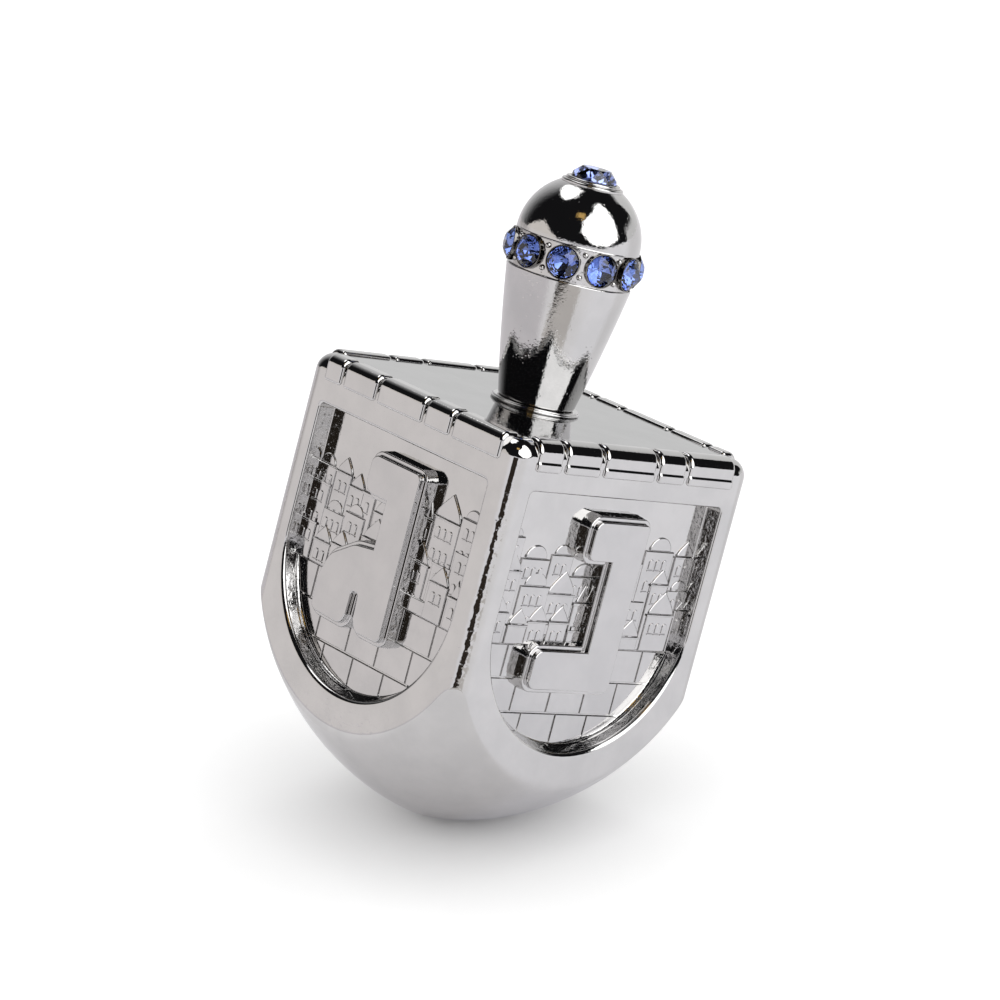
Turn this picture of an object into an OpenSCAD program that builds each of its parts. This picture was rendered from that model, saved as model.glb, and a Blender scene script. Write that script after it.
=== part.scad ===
// Metal spinning top with four lettered faces, a beaded rim and a jewelled handle.
// Lengths are in millimetres. The spin tip is at the origin and the handle points along +Z.
// The gimel face looks along -Y, nun along +X, shin along +Y and he along -X.

/* [Body] */
// Distance across two opposite flat faces
body_width = 30; // [29.6:0.1:30.8]
// Height from the spin tip to the crest of the beaded rim
body_height = 40.4; // [40:0.1:42]
// Rounding of the four upright edges
edge_round = 2; // [1.6:0.1:2.2]
// Radius of the long curve that forms the underside
dome_radius = 26.3; // [26:0.1:27]
// How far beyond the axis the centre of that curve lies
dome_offset = 4.4; // [4.2:0.1:4.6]
// Radius of the rounded spin tip
tip_round = 6; // [4:0.5:8]
// Metal thickness behind the recessed panels
panel_wall = 2; // [1.6:0.1:2.4]
// Metal thickness of the underside
dome_wall = 2.6; // [2:0.1:3]

/* [Recessed panels] */
// Width of each recessed panel
panel_width = 24.2; // [23.6:0.1:24.6]
// Depth of each recessed panel
panel_depth = 1.8; // [1.2:0.1:2]
// Distance from the rim crest down to the top edge of a panel
panel_top_drop = 4.7; // [4.4:0.1:5.2]
// Height of the round lower end of a panel above the spin tip
panel_foot = 11.4; // [11:0.1:12.5]
// Rounding of the two upper corners of a panel
panel_corner = 0.5; // [0.3:0.1:1]

/* [Letters] */
// Width of the letter strokes
letter_stroke = 3.7; // [3.2:0.1:4]
// Height of the letters
letter_height = 16; // [15:0.5:16.5]
// Distance from the foot of a panel up to the foot of its letter
letter_rise = 6.1; // [5.8:0.1:7]
// Width of the step around the foot of each letter
letter_lip = 0.4; // [0.2:0.05:0.45]
// How far that step stays below the top of the letter
letter_step = 0.5; // [0.3:0.1:0.9]
// Rounding of the letter corners
letter_corner = 0.45; // [0.2:0.05:0.5]

/* [Beaded rim] */
// How far the bead blocks stand out from the faces
bead_proud = 0.3; // [0.15:0.05:0.4]
// Radius with which the blocks roll over the top edge
bead_roll = 1.3; // [1.2:0.05:1.4]
// Width of the flat strip between that curve and the top plate
bead_land = 0.8; // [0.7:0.05:0.9]
// Distance from the crest down to the lower edge of the blocks
bead_drop = 2.7; // [2.5:0.1:3.2]
// Width of the grooves between blocks
bead_groove = 0.4; // [0.2:0.05:0.6]
// Plain length left free at both ends of each row of blocks
bead_end = 2.7; // [2.5:0.1:3]
// Rounding of the lower corners of a block
bead_corner = 0.5; // [0.2:0.1:0.6]

/* [Top plate] */
// Thickness of the inlaid top plate
plate_thickness = 1.8; // [1.4:0.1:2]
// Depth of the plate below the rim crest
plate_drop = 0.25; // [0.2:0.05:0.5]
// Play around the plate in its pocket
plate_gap = 0.12; // [0.08:0.02:0.2]
// Rounding of the plate's corners
plate_corner = 1.5; // [1:0.1:2]

/* [Handle] */
// Radius of the stem where it leaves the collar
stem_foot_radius = 3.6; // [3.4:0.05:3.7]
// Radius of the stem below the jewelled belt
stem_top_radius = 5.9; // [5.8:0.05:6]
// Height of the stem from collar to belt
stem_height = 12.15; // [11:0.05:14]
// Outward bulge of the stem's side line
stem_bulge = 0.1; // [0.05:0.05:0.5]
// Radius of the belt between the stones
belt_radius = 5.7; // [5.6:0.05:5.75]
// Height of the belt
belt_height = 3.4; // [3.3:0.1:3.6]
// Height of the belt's two plain edge bands
belt_edge = 0.2; // [0.1:0.05:0.3]
// Radius of the round cap above the belt
cap_radius = 5.8; // [5.75:0.05:5.9]
// Radius of the flat lip that carries the crown stone
seat_radius = 2.9; // [2.7:0.1:3.1]
// Height of that lip
seat_height = 0.35; // [0.25:0.05:0.5]
// Height of the sloped cup above the lip
cup_height = 0.4; // [0.35:0.05:0.5]

/* [Collar ring] */
// Outer radius of the ring under the stem
ring_radius = 4.2; // [4:0.05:4.5]
// Thickness of the ring
ring_thickness = 0.4; // [0.3:0.05:0.5]
// Depth of the groove between the ring's round edge and the stem
ring_groove = 0.1; // [0.05:0.01:0.12]
// Radius of the handle's spigot inside the ring
spigot_radius = 2.5; // [2.3:0.05:2.7]
// Play between ring and spigot
ring_gap = 0.1; // [0.05:0.01:0.15]

/* [Stones] */
// Angle of the first belt stone
stone_turn = 20; // [0:1:36]
// Diameter of a belt stone
stone_diameter = 3.1; // [2.9:0.05:3.1]
// Height of a belt stone above its widest line
stone_crown = 0.6; // [0.4:0.05:0.7]
// Depth of a belt stone below its widest line
stone_depth = 1.1; // [0.9:0.05:1.2]
// Distance from the axis to the widest line of a belt stone
stone_reach = 6; // [5.95:0.05:6.05]
// Diameter of the crown stone
crown_diameter = 4.3; // [4:0.1:4.4]
// Height of the crown stone above its widest line
crown_height = 1; // [0.9:0.05:1.2]
// Depth of the crown stone below its widest line
crown_depth = 1.5; // [1.2:0.1:1.6]
// Thickness of the widest band of every stone
girdle = 0.15; // [0.1:0.01:0.2]
// Play between a stone and its socket
stone_gap = 0.06; // [0.04:0.01:0.08]
// Number of facets around a stone
stone_facets = 8; // [6:1:12]

/* [Fixing screw] */
// Diameter of the screw that holds the handle
screw_diameter = 3; // [2.5:0.1:3.2]
// Length of the screw under its head
screw_length = 8; // [7:0.5:9]
// Diameter of the screw head
head_diameter = 5.5; // [5:0.1:6]
// Height of the screw head
head_height = 2; // [1.8:0.1:2.4]
// Width across the flats of the key socket
key_width = 2; // [1.5:0.1:2.5]
// Outer diameter of the washer
washer_diameter = 7; // [6.5:0.1:8]
// Thickness of the washer
washer_thickness = 0.5; // [0.4:0.1:0.8]
// Play around the screw
screw_gap = 0.1; // [0.05:0.01:0.15]

/* [Hidden] */
$fn = 96;
stone_count = 10;
half = body_width / 2;
rim_base = body_height - plate_drop;
dome_centre = tip_round + sqrt(pow(dome_radius - tip_round, 2) - pow(dome_offset, 2));
floor_half = half - panel_depth;
cavity_half = floor_half - panel_wall;
cavity_corner = edge_round;
pocket_half = half + bead_proud - bead_roll - bead_land;
plate_half = pocket_half - plate_gap;
plate_base = rim_base - plate_thickness;
panel_half = panel_width / 2;
panel_top = body_height - panel_top_drop;
letter_foot = panel_foot + letter_rise;
letter_top = letter_foot + letter_height;
letter_base = panel_depth - letter_step;
bead_run = body_width - 2 * bead_end;
bead_starts_share = [0, 0.082, 0.278, 0.563, 0.722];
bead_widths_share = [0.082, 0.196, 0.285, 0.159, 0.278];
nun_head_share = 0.8;
nun_base_share = 1.73;
gimel_head_share = 0.88;
gimel_leg_share = 1.77;
gimel_leg_rise_share = 2.1;
gimel_shoulder_share = 1.15;
gimel_notch_share = 0.45;
gimel_notch_width_share = 0.33;
gimel_notch_rise_share = 0.95;
he_side_share = 1.7;
he_leg_rise_share = 0.6;
shin_side_share = 1.8;
shin_arm_share = 0.85;
ring_base = rim_base;
ring_edge = ring_radius - ring_thickness / 2;
stem_base = ring_base + ring_thickness;
belt_base = stem_base + stem_height;
belt_middle = belt_base + belt_height / 2;
cap_centre = belt_base + belt_height;
cap_top = cap_centre + sqrt(pow(cap_radius, 2) - pow(seat_radius, 2));
cup_base = cap_top + seat_height;
cup_top = cup_base + cup_height;
crown_line = cup_top - girdle / 2;
stone_radius = stone_diameter / 2;
crown_radius = crown_diameter / 2;
cup_radius = crown_radius + stone_gap + girdle;
bezel_radius = stone_radius + stone_gap + 2 * girdle / 3;
bezel_reach = stone_reach + girdle;
belt_table_share = 0.55;
crown_table_share = 0.65;
culet_share = 0.12;
stem_chord = sqrt(pow(stem_height, 2) + pow(stem_top_radius - stem_foot_radius, 2));
stem_curve = (pow(stem_chord, 2) / 4 + pow(stem_bulge, 2)) / (2 * stem_bulge);
stem_across = stem_height / stem_chord;
stem_along = (stem_top_radius - stem_foot_radius) / stem_chord;
stem_centre_x = (stem_foot_radius + stem_top_radius) / 2 - (stem_curve - stem_bulge) * stem_across;
stem_centre_z = stem_base + stem_height / 2 + (stem_curve - stem_bulge) * stem_along;
screw_radius = screw_diameter / 2;
washer_base = plate_base - washer_thickness;
screw_tip = washer_base + screw_length;
key_depth = head_height / 2;
key_flats = 6;

// A rectangle between two corners with round corners
module round_box(x0, y0, x1, y1, r) {
    translate([x0 + r, y0]) square([x1 - x0 - 2 * r, y1 - y0]);
    translate([x0, y0 + r]) square([x1 - x0, y1 - y0 - 2 * r]);
    for (x = [x0 + r, x1 - r], y = [y0 + r, y1 - r])
        translate([x, y]) circle(r);
}

// Puts a flat drawing on face number k, from depth a to depth b outward
module on_face(k, a, b) {
    rotate([0, 0, 90 * k]) translate([0, -a, 0]) rotate([90, 0, 0]) linear_extrude(b - a) children();
}

// Half outline of the underside, shrunk inward by w
module dome_outline(w) {
    r = dome_radius - w;
    t = tip_round - w;
    cut = tip_round - t * (dome_centre - tip_round) / (dome_radius - tip_round);
    intersection() {
        translate([-dome_offset, dome_centre]) circle(r);
        translate([0, cut]) square([dome_radius, dome_centre - cut]);
    }
    intersection() {
        translate([0, tip_round]) circle(t);
        square([t, cut]);
    }
    translate([0, dome_centre]) square([r - dome_offset, body_height - dome_centre]);
}

// Square column with round upright edges
module column(h, r, z0, z1) {
    translate([0, 0, z0]) linear_extrude(z1 - z0) round_box(-h, -h, h, h, r);
}

// Side view of the column with rolled top edges, drawn along one axis
module rolled_slab() {
    roll = half - pocket_half;
    rotate([90, 0, 0]) translate([0, 0, -half]) linear_extrude(body_width)
        difference() {
            translate([-half, 0]) square([body_width, rim_base]);
            for (s = [-1, 1]) difference() {
                translate([s > 0 ? half - roll : -half, rim_base - roll]) square([roll, roll]);
                translate([s * (half - roll), rim_base - roll]) circle(roll);
            }
        }
}

module outer_form() {
    intersection() {
        column(half, edge_round, 0, rim_base);
        rolled_slab();
        rotate([0, 0, 90]) rolled_slab();
        rotate_extrude() dome_outline(0);
    }
}

// Outline of a recessed panel: straight top, half-round foot
module panel_outline() {
    middle = panel_foot + panel_half;
    translate([0, middle]) circle(panel_half);
    translate([-panel_half, middle]) square([panel_width, panel_top - middle - panel_corner]);
    round_box(-panel_half, middle, panel_half, panel_top, panel_corner);
}

// The four letters; g widens every stroke
module nun(g) {
    s = letter_stroke;
    r = letter_corner + g;
    round_box(-nun_head_share * s - g, letter_top - s - g, s + g, letter_top + g, r);
    round_box(-g, letter_foot - g, s + g, letter_top + g, r);
    round_box(-nun_base_share * s - g, letter_foot - g, s + g, letter_foot + s + g, r);
}

module gimel(g) {
    s = letter_stroke;
    r = letter_corner + g;
    shoulder = gimel_shoulder_share * s + g;
    leg_left = -gimel_leg_share * s - g;
    leg_top = letter_foot + gimel_leg_rise_share * s + g;
    notch_left = -gimel_notch_share * s + g;
    notch_right = notch_left + gimel_notch_width_share * s - 2 * g;
    round_box(-gimel_head_share * s - g, letter_top - s - g, s + g, letter_top + g, r);
    round_box(-g, letter_foot - g, s + g, letter_top + g, r);
    difference() {
        union() {
            translate([leg_left + shoulder, leg_top - shoulder]) circle(shoulder);
            round_box(leg_left, letter_foot - g, s, leg_top - shoulder + r, r);
            translate([leg_left + shoulder, letter_foot])
                square([s - leg_left - shoulder, leg_top - letter_foot]);
        }
        translate([notch_left, letter_foot - s]) square([notch_right - notch_left,
            s + gimel_notch_rise_share * s - g]);
    }
}

module he(g) {
    s = letter_stroke;
    r = letter_corner + g;
    side = he_side_share * s + g;
    round_box(-side, letter_top - s - g, side, letter_top + g, r);
    round_box((he_side_share - 1) * s - g, letter_foot - g, side, letter_top + g, r);
    round_box(-side, letter_foot - g, (1 - he_side_share) * s + g,
        letter_foot + he_leg_rise_share * letter_height + g, r);
}

module shin(g) {
    s = letter_stroke;
    r = letter_corner + g;
    side = shin_side_share * s + g;
    arm = shin_arm_share * s;
    round_box(-side, letter_foot - g, side, letter_foot + arm + g, r);
    round_box(-side, letter_foot - g, arm + g - shin_side_share * s, letter_top + g, r);
    round_box(shin_side_share * s - arm - g, letter_foot - g, side, letter_top + g, r);
    round_box(-arm / 2 - g, letter_foot - g, arm / 2 + g, letter_top + g, r);
}

module letter(k, g) {
    if (k == 0) gimel(g);
    if (k == 1) nun(g);
    if (k == 2) shin(g);
    if (k == 3) he(g);
}

// Side view of one bead block, drawn for the face that looks along -Y
module bead_side() {
    reach = half + bead_proud;
    inner = pocket_half;
    intersection() {
        union() {
            translate([bead_roll - reach, body_height - bead_roll]) circle(bead_roll);
            translate([-reach, body_height - bead_drop]) square([reach - inner, bead_drop - bead_roll]);
            translate([bead_roll - reach, body_height - bead_drop]) square([reach - inner, bead_drop]);
        }
        translate([-reach, body_height - bead_drop]) square([reach - inner, bead_drop]);
    }
}

// Front view of one bead block, used to round its lower corners
module bead_front(x0, x1) {
    top = body_height + bead_drop;
    round_box(x0, body_height - bead_drop, x1, top, bead_corner);
}

module bead_row(k) {
    rotate([0, 0, 90 * k]) for (i = [0 : len(bead_starts_share) - 1]) {
        x0 = bead_starts_share[i] * bead_run - bead_run / 2 + bead_groove / 2;
        x1 = x0 + bead_widths_share[i] * bead_run - bead_groove;
        intersection() {
            translate([x0, 0, 0]) rotate([90, 0, 90]) linear_extrude(x1 - x0) bead_side();
            rotate([90, 0, 0]) linear_extrude(half + bead_roll) bead_front(x0, x1);
        }
    }
}

module body_shell() {
    color([0.80, 0.79, 0.78])
    difference() {
        union() {
            difference() {
                outer_form();
                for (k = [0 : 3]) on_face(k, floor_half, half + panel_depth) panel_outline();
            }
            for (k = [0 : 3]) {
                on_face(k, floor_half - panel_wall / 2, floor_half + letter_base) letter(k, letter_lip);
                on_face(k, floor_half - panel_wall / 2, half) letter(k, 0);
                bead_row(k);
            }
        }
        intersection() {
            column(cavity_half, cavity_corner, 0, body_height);
            rotate_extrude() dome_outline(dome_wall);
        }
        column(pocket_half, plate_corner + plate_gap, plate_base, body_height + plate_thickness);
    }
}

module top_plate() {
    color([0.78, 0.78, 0.79])
    difference() {
        column(plate_half, plate_corner, plate_base, rim_base);
        translate([0, 0, plate_base - plate_thickness])
            cylinder(h = 3 * plate_thickness, r = screw_radius + screw_gap);
    }
}

// Cut stone: point down, widest line at height zero
module stone(radius, height, depth, table_share) {
    translate([0, 0, -depth]) cylinder(h = depth, r1 = radius * culet_share, r2 = radius, $fn = stone_facets);
    cylinder(h = girdle, r = radius, $fn = stone_facets);
    translate([0, 0, girdle]) cylinder(h = height - girdle, r1 = radius, r2 = radius * table_share,
        $fn = stone_facets);
}

// Space for a stone: the same cone with play, open outward
module socket(radius, depth) {
    r = radius + stone_gap;
    translate([0, 0, -depth - stone_gap]) cylinder(h = depth, r1 = r * culet_share + stone_gap, r2 = r);
    translate([0, 0, -stone_gap]) cylinder(h = depth, r = r);
}

module at_stone(i) {
    rotate([0, 0, stone_turn + 360 * i / stone_count]) translate([stone_reach, 0, belt_middle])
        rotate([0, 90, 0]) children();
}

module handle_outline() {
    square_base = ring_base + ring_gap;
    translate([0, square_base]) square([spigot_radius, cup_base - square_base]);
    intersection() {
        translate([stem_centre_x, stem_centre_z]) circle(stem_curve, $fn = 4 * $fn);
        translate([0, stem_base]) square([cap_radius + seat_radius, stem_height]);
    }
    translate([0, belt_base]) square([belt_radius, belt_height]);
    for (z = [belt_base, cap_centre - belt_edge])
        translate([0, z]) square([cap_radius, belt_edge]);
    intersection() {
        translate([0, cap_centre]) circle(cap_radius);
        translate([0, cap_centre]) square([cap_radius, cap_top - cap_centre]);
    }
    translate([0, cap_top]) square([seat_radius, seat_height]);
    polygon([[0, cup_base], [seat_radius - girdle, cup_base], [cup_radius, cup_top], [0, cup_top]]);
}

module handle() {
    color([0.76, 0.76, 0.78])
    difference() {
        union() {
            rotate_extrude() handle_outline();
            for (i = [0 : stone_count - 1]) at_stone(i)
                translate([0, 0, -stone_depth]) cylinder(h = stone_depth + bezel_reach - stone_reach,
                    r = bezel_radius);
        }
        for (i = [0 : stone_count - 1]) at_stone(i) socket(stone_radius, stone_depth);
        translate([0, 0, crown_line]) socket(crown_radius, crown_depth);
        translate([0, 0, ring_base - ring_thickness])
            cylinder(h = ring_thickness + screw_tip - ring_base + screw_diameter / 2,
                r = screw_radius + screw_gap);
    }
}

module collar_ring() {
    color([0.74, 0.74, 0.76])
    rotate_extrude() difference() {
        union() {
            translate([spigot_radius + ring_gap, ring_base])
                square([ring_edge - spigot_radius - ring_gap, ring_thickness]);
            translate([ring_edge, ring_base + ring_thickness / 2]) circle(ring_thickness / 2);
        }
        translate([ring_edge - ring_thickness / 2, ring_base + ring_thickness]) circle(ring_groove);
    }
}

module handle_screw() {
    color([0.62, 0.62, 0.60])
    difference() {
        union() {
            translate([0, 0, washer_base]) cylinder(h = screw_length, r = screw_radius);
            translate([0, 0, washer_base - head_height]) cylinder(h = head_height, r = head_diameter / 2);
        }
        translate([0, 0, washer_base - head_height - key_depth])
            linear_extrude(2 * key_depth) circle(key_width / 2, $fn = key_flats);
    }
}

module screw_washer() {
    color([0.66, 0.66, 0.62])
    translate([0, 0, washer_base]) difference() {
        cylinder(h = washer_thickness, r = washer_diameter / 2);
        translate([0, 0, -washer_thickness])
            cylinder(h = 3 * washer_thickness, r = screw_radius + screw_gap);
    }
}

module crown_crystal() {
    color([0.20, 0.30, 0.75, 0.9])
    translate([0, 0, crown_line]) stone(crown_radius, crown_height, crown_depth, crown_table_share);
}

module belt_crystal(i) {
    color([0.20, 0.30, 0.75, 0.9])
    at_stone(i) stone(stone_radius, stone_crown, stone_depth, belt_table_share);
}

body_shell();
top_plate();
handle();
collar_ring();
handle_screw();
screw_washer();
crown_crystal();
for (i = [0 : stone_count - 1])
    belt_crystal(i);
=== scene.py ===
"""Looks of the four-sided spinning top, standing in a plain pale studio.

Every length in the classes is a millimetre, measured from the spin tip with +Z through the
handle. The meshes are written in metres. A face is numbered as in the part's source:
0 looks along -Y, 1 along +X, 2 along +Y and 3 along -X.
"""

from __future__ import annotations

import logging
import math
from dataclasses import dataclass
from enum import Enum

import bpy
import numpy as np
from mathutils import Matrix, Vector
from mathutils.geometry import tessellate_polygon

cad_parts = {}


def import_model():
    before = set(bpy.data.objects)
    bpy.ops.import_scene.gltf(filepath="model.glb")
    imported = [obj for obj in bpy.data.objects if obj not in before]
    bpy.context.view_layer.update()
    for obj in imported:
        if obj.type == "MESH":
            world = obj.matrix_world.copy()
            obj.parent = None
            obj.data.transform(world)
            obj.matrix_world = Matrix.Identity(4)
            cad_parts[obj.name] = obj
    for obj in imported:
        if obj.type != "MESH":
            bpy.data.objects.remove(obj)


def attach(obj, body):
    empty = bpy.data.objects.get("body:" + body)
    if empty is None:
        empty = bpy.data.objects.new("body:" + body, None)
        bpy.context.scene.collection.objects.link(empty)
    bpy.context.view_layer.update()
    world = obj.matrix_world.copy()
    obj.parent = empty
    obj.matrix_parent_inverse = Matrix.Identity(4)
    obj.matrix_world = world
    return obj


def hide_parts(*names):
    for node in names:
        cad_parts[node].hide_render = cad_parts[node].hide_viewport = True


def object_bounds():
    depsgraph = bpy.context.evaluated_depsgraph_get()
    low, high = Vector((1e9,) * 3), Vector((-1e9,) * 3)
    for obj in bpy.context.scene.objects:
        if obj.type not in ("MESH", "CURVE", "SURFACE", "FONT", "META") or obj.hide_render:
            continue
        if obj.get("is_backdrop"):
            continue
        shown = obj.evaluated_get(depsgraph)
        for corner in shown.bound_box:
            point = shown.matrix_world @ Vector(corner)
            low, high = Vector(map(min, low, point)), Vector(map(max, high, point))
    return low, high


LOG = logging.getLogger("top")
MM = 0.001
Array = np.ndarray
Stretch = tuple[Array, Array]
Frame = tuple[Array, Array, Array, Array]
Colour = tuple[float, float, float]
Socket = bpy.types.NodeSocket
UP = np.array([0.0, 0.0, 1.0])
HALF = 15.0
FIELD_DEPTH = 1.8
RIM = 40.15
POCKET = 38.35


# Shapes on a plane


def rays(angle: Array) -> Array:
    """Args: angle: In radians. Returns: (cos a, sin a) of each, along a new last axis."""
    return np.stack([np.cos(angle), np.sin(angle)], -1)


def compass(degrees: float) -> tuple[Array, Array]:
    """Args: degrees: Turn about the upright axis. Returns: directions outward and sideways."""
    a = math.radians(degrees)
    return np.array([math.cos(a), math.sin(a), 0.0]), np.array([-math.sin(a), math.cos(a), 0.0])


def arc(centre: tuple[float, float], radius: float, start: float, end: float, count: int,
        hollow: bool = False) -> Stretch:
    """Points centre + radius * (cos a, sin a), with a going evenly from start to end.

    Args:
        centre: Middle of the circle.
        radius: Its radius.
        start: First angle in degrees.
        end: Last angle in degrees.
        count: Number of points.
        hollow: True where the material lies outside the circle, so the normals point inwards.

    Returns:
        Points and unit normals, each of shape (count, 2).
    """
    ray = rays(np.radians(np.linspace(start, end, count)))
    return np.asarray(centre) + radius * ray, -ray if hollow else ray


def line(start: tuple[float, float], end: tuple[float, float]) -> Stretch:
    """Args: start, end: Of a stretch. Returns: both, with normals to the right of the way."""
    a, b = np.asarray(start, float), np.asarray(end, float)
    along = (b - a) / np.linalg.norm(b - a)
    return np.stack([a, b]), np.tile([along[1], -along[0]], (2, 1))


@dataclass
class Outline:
    """A closed loop on a face, walked anticlockwise.

    The offset of a point by d is point + d * mitre, and normal is the direction that the edge
    faces, which light uses.
    """

    points: Array
    normals: Array
    mitres: Array

    def moved(self, distance: float | Array) -> Array:
        """Args: distance: Offset outwards. Returns: the loop's points there."""
        return self.points + distance * self.mitres

    @staticmethod
    def of(corners: list[tuple[float, float, float]], step: float = 9.0) -> "Outline":
        """Rounds each corner (x, y, radius) with a circular arc that touches both edges.

        A corner of radius 0 stays sharp: it becomes two equal points, one for each edge, and
        both move along the mitre (n1 + n2) / (1 + n1 . n2).

        Args:
            corners: The corners, anticlockwise.
            step: Largest turn between two points of an arc, in degrees.

        Returns:
            The loop.
        """
        spots = np.array([c[:2] for c in corners], float)
        ahead = np.roll(spots, -1, 0) - spots
        ahead /= np.linalg.norm(ahead, axis=1)[:, None]
        parts = []
        for spot, a, b, corner in zip(spots, np.roll(ahead, 1, 0), ahead, corners):
            radius = corner[2]
            na, nb = np.array([a[1], -a[0]]), np.array([b[1], -b[0]])
            turn = math.atan2(a[0] * b[1] - a[1] * b[0], a @ b)
            if radius <= 0:
                parts.append(([spot, spot], [na, nb], [(na + nb) / (1 + na @ nb)] * 2))
                continue
            side = math.copysign(1.0, turn)
            middle = spot - a * radius * math.tan(abs(turn) / 2) - side * na * radius
            count = max(3, int(abs(math.degrees(turn)) / step) + 1)
            ray = rays(math.atan2(na[1], na[0]) + np.linspace(0, turn, count))
            parts.append((middle + side * radius * ray, ray, ray))
        return Outline(*(np.concatenate(part) for part in zip(*parts)))

    @staticmethod
    def box(x0: float, z0: float, x1: float, z1: float, radius: float = 0.0) -> "Outline":
        """Args: x0, z0, x1, z1: Two corners. radius: Rounding. Returns: a rectangle."""
        return Outline.of([(x0, z0, radius), (x1, z0, radius), (x1, z1, radius), (x0, z1, radius)])

    @staticmethod
    def dome(x0: float, z0: float, x1: float, height: float, point: float = 0.0,
             foot: float = 0.0) -> "Outline":
        """A shape with a flat foot and a rounded or pointed head.

        The head is half an ellipse over the springing line, raised by point * (1 - |t|)^1.5 at
        the share t from the middle.

        Args:
            x0: Left end.
            z0: Foot.
            x1: Right end.
            height: Height of the head above the springing line.
            point: How far the crown is drawn up.
            foot: Height of the straight sides below the springing line.

        Returns:
            The loop.
        """
        half, middle = (x1 - x0) / 2, (x0 + x1) / 2
        t = np.cos(np.linspace(0, math.pi, 15))
        lift = height * np.sqrt(np.clip(1 - t**2, 0, 1)) + point * (1 - np.abs(t)) ** 1.5
        x = np.concatenate([[x1], middle + half * t, [x0]])
        z = np.concatenate([[z0], z0 + foot + lift, [z0]])
        if foot <= 0:
            x, z = x[1:-1], z[1:-1]
        return Outline.free(np.stack([x, z], 1))

    @staticmethod
    def free(points: Array, sharp: float = 40.0) -> "Outline":
        """A loop through given points, sharp only at the larger turns.

        Args:
            points: Shape (n, 2), anticlockwise.
            sharp: Turn from which a corner is sharp, in degrees.

        Returns:
            The loop, with mean normals at the points that stay smooth.
        """
        ahead = np.roll(points, -1, 0) - points
        ahead /= np.linalg.norm(ahead, axis=1)[:, None]
        nb = np.stack([ahead[:, 1], -ahead[:, 0]], 1)
        na = np.roll(nb, 1, 0)
        dot = (na * nb).sum(1)[:, None]
        mitre = (na + nb) / (1 + dot)
        mean = (na + nb) / np.linalg.norm(na + nb, axis=1)[:, None]
        smooth = dot > math.cos(math.radians(sharp))
        normals = np.stack([np.where(smooth, mean, na), np.where(smooth, mean, nb)], 1)
        return Outline(np.repeat(points, 2, 0), normals.reshape(-1, 2), np.repeat(mitre, 2, 0))


@dataclass(frozen=True)
class Face:
    """One of the four sides: turns its own (x, height, depth) into the part's (x, y, z)."""

    number: int = 0

    def axes(self) -> tuple[Array, Array, Array]:
        """Returns: the directions of the face's x, of up, and of out."""
        along, back = compass(90 * self.number)
        return along, UP, -back

    def place(self, flat: Array, depth: Array | float) -> Array:
        """Args: flat: (..., 2) across and up. depth: Outward part. Returns: (..., 3)."""
        along, up, out = self.axes()
        depth = np.asarray(depth, float)
        return flat[..., :1] * along + flat[..., 1:] * up + depth[..., None] * out


class Plan(Face):
    """The view from above, whose (x, height, depth) are the part's own (x, y, z)."""

    def axes(self) -> tuple[Array, Array, Array]:
        """Returns: the directions of x, y and z."""
        return tuple(np.eye(3))


# Mesh building


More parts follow.
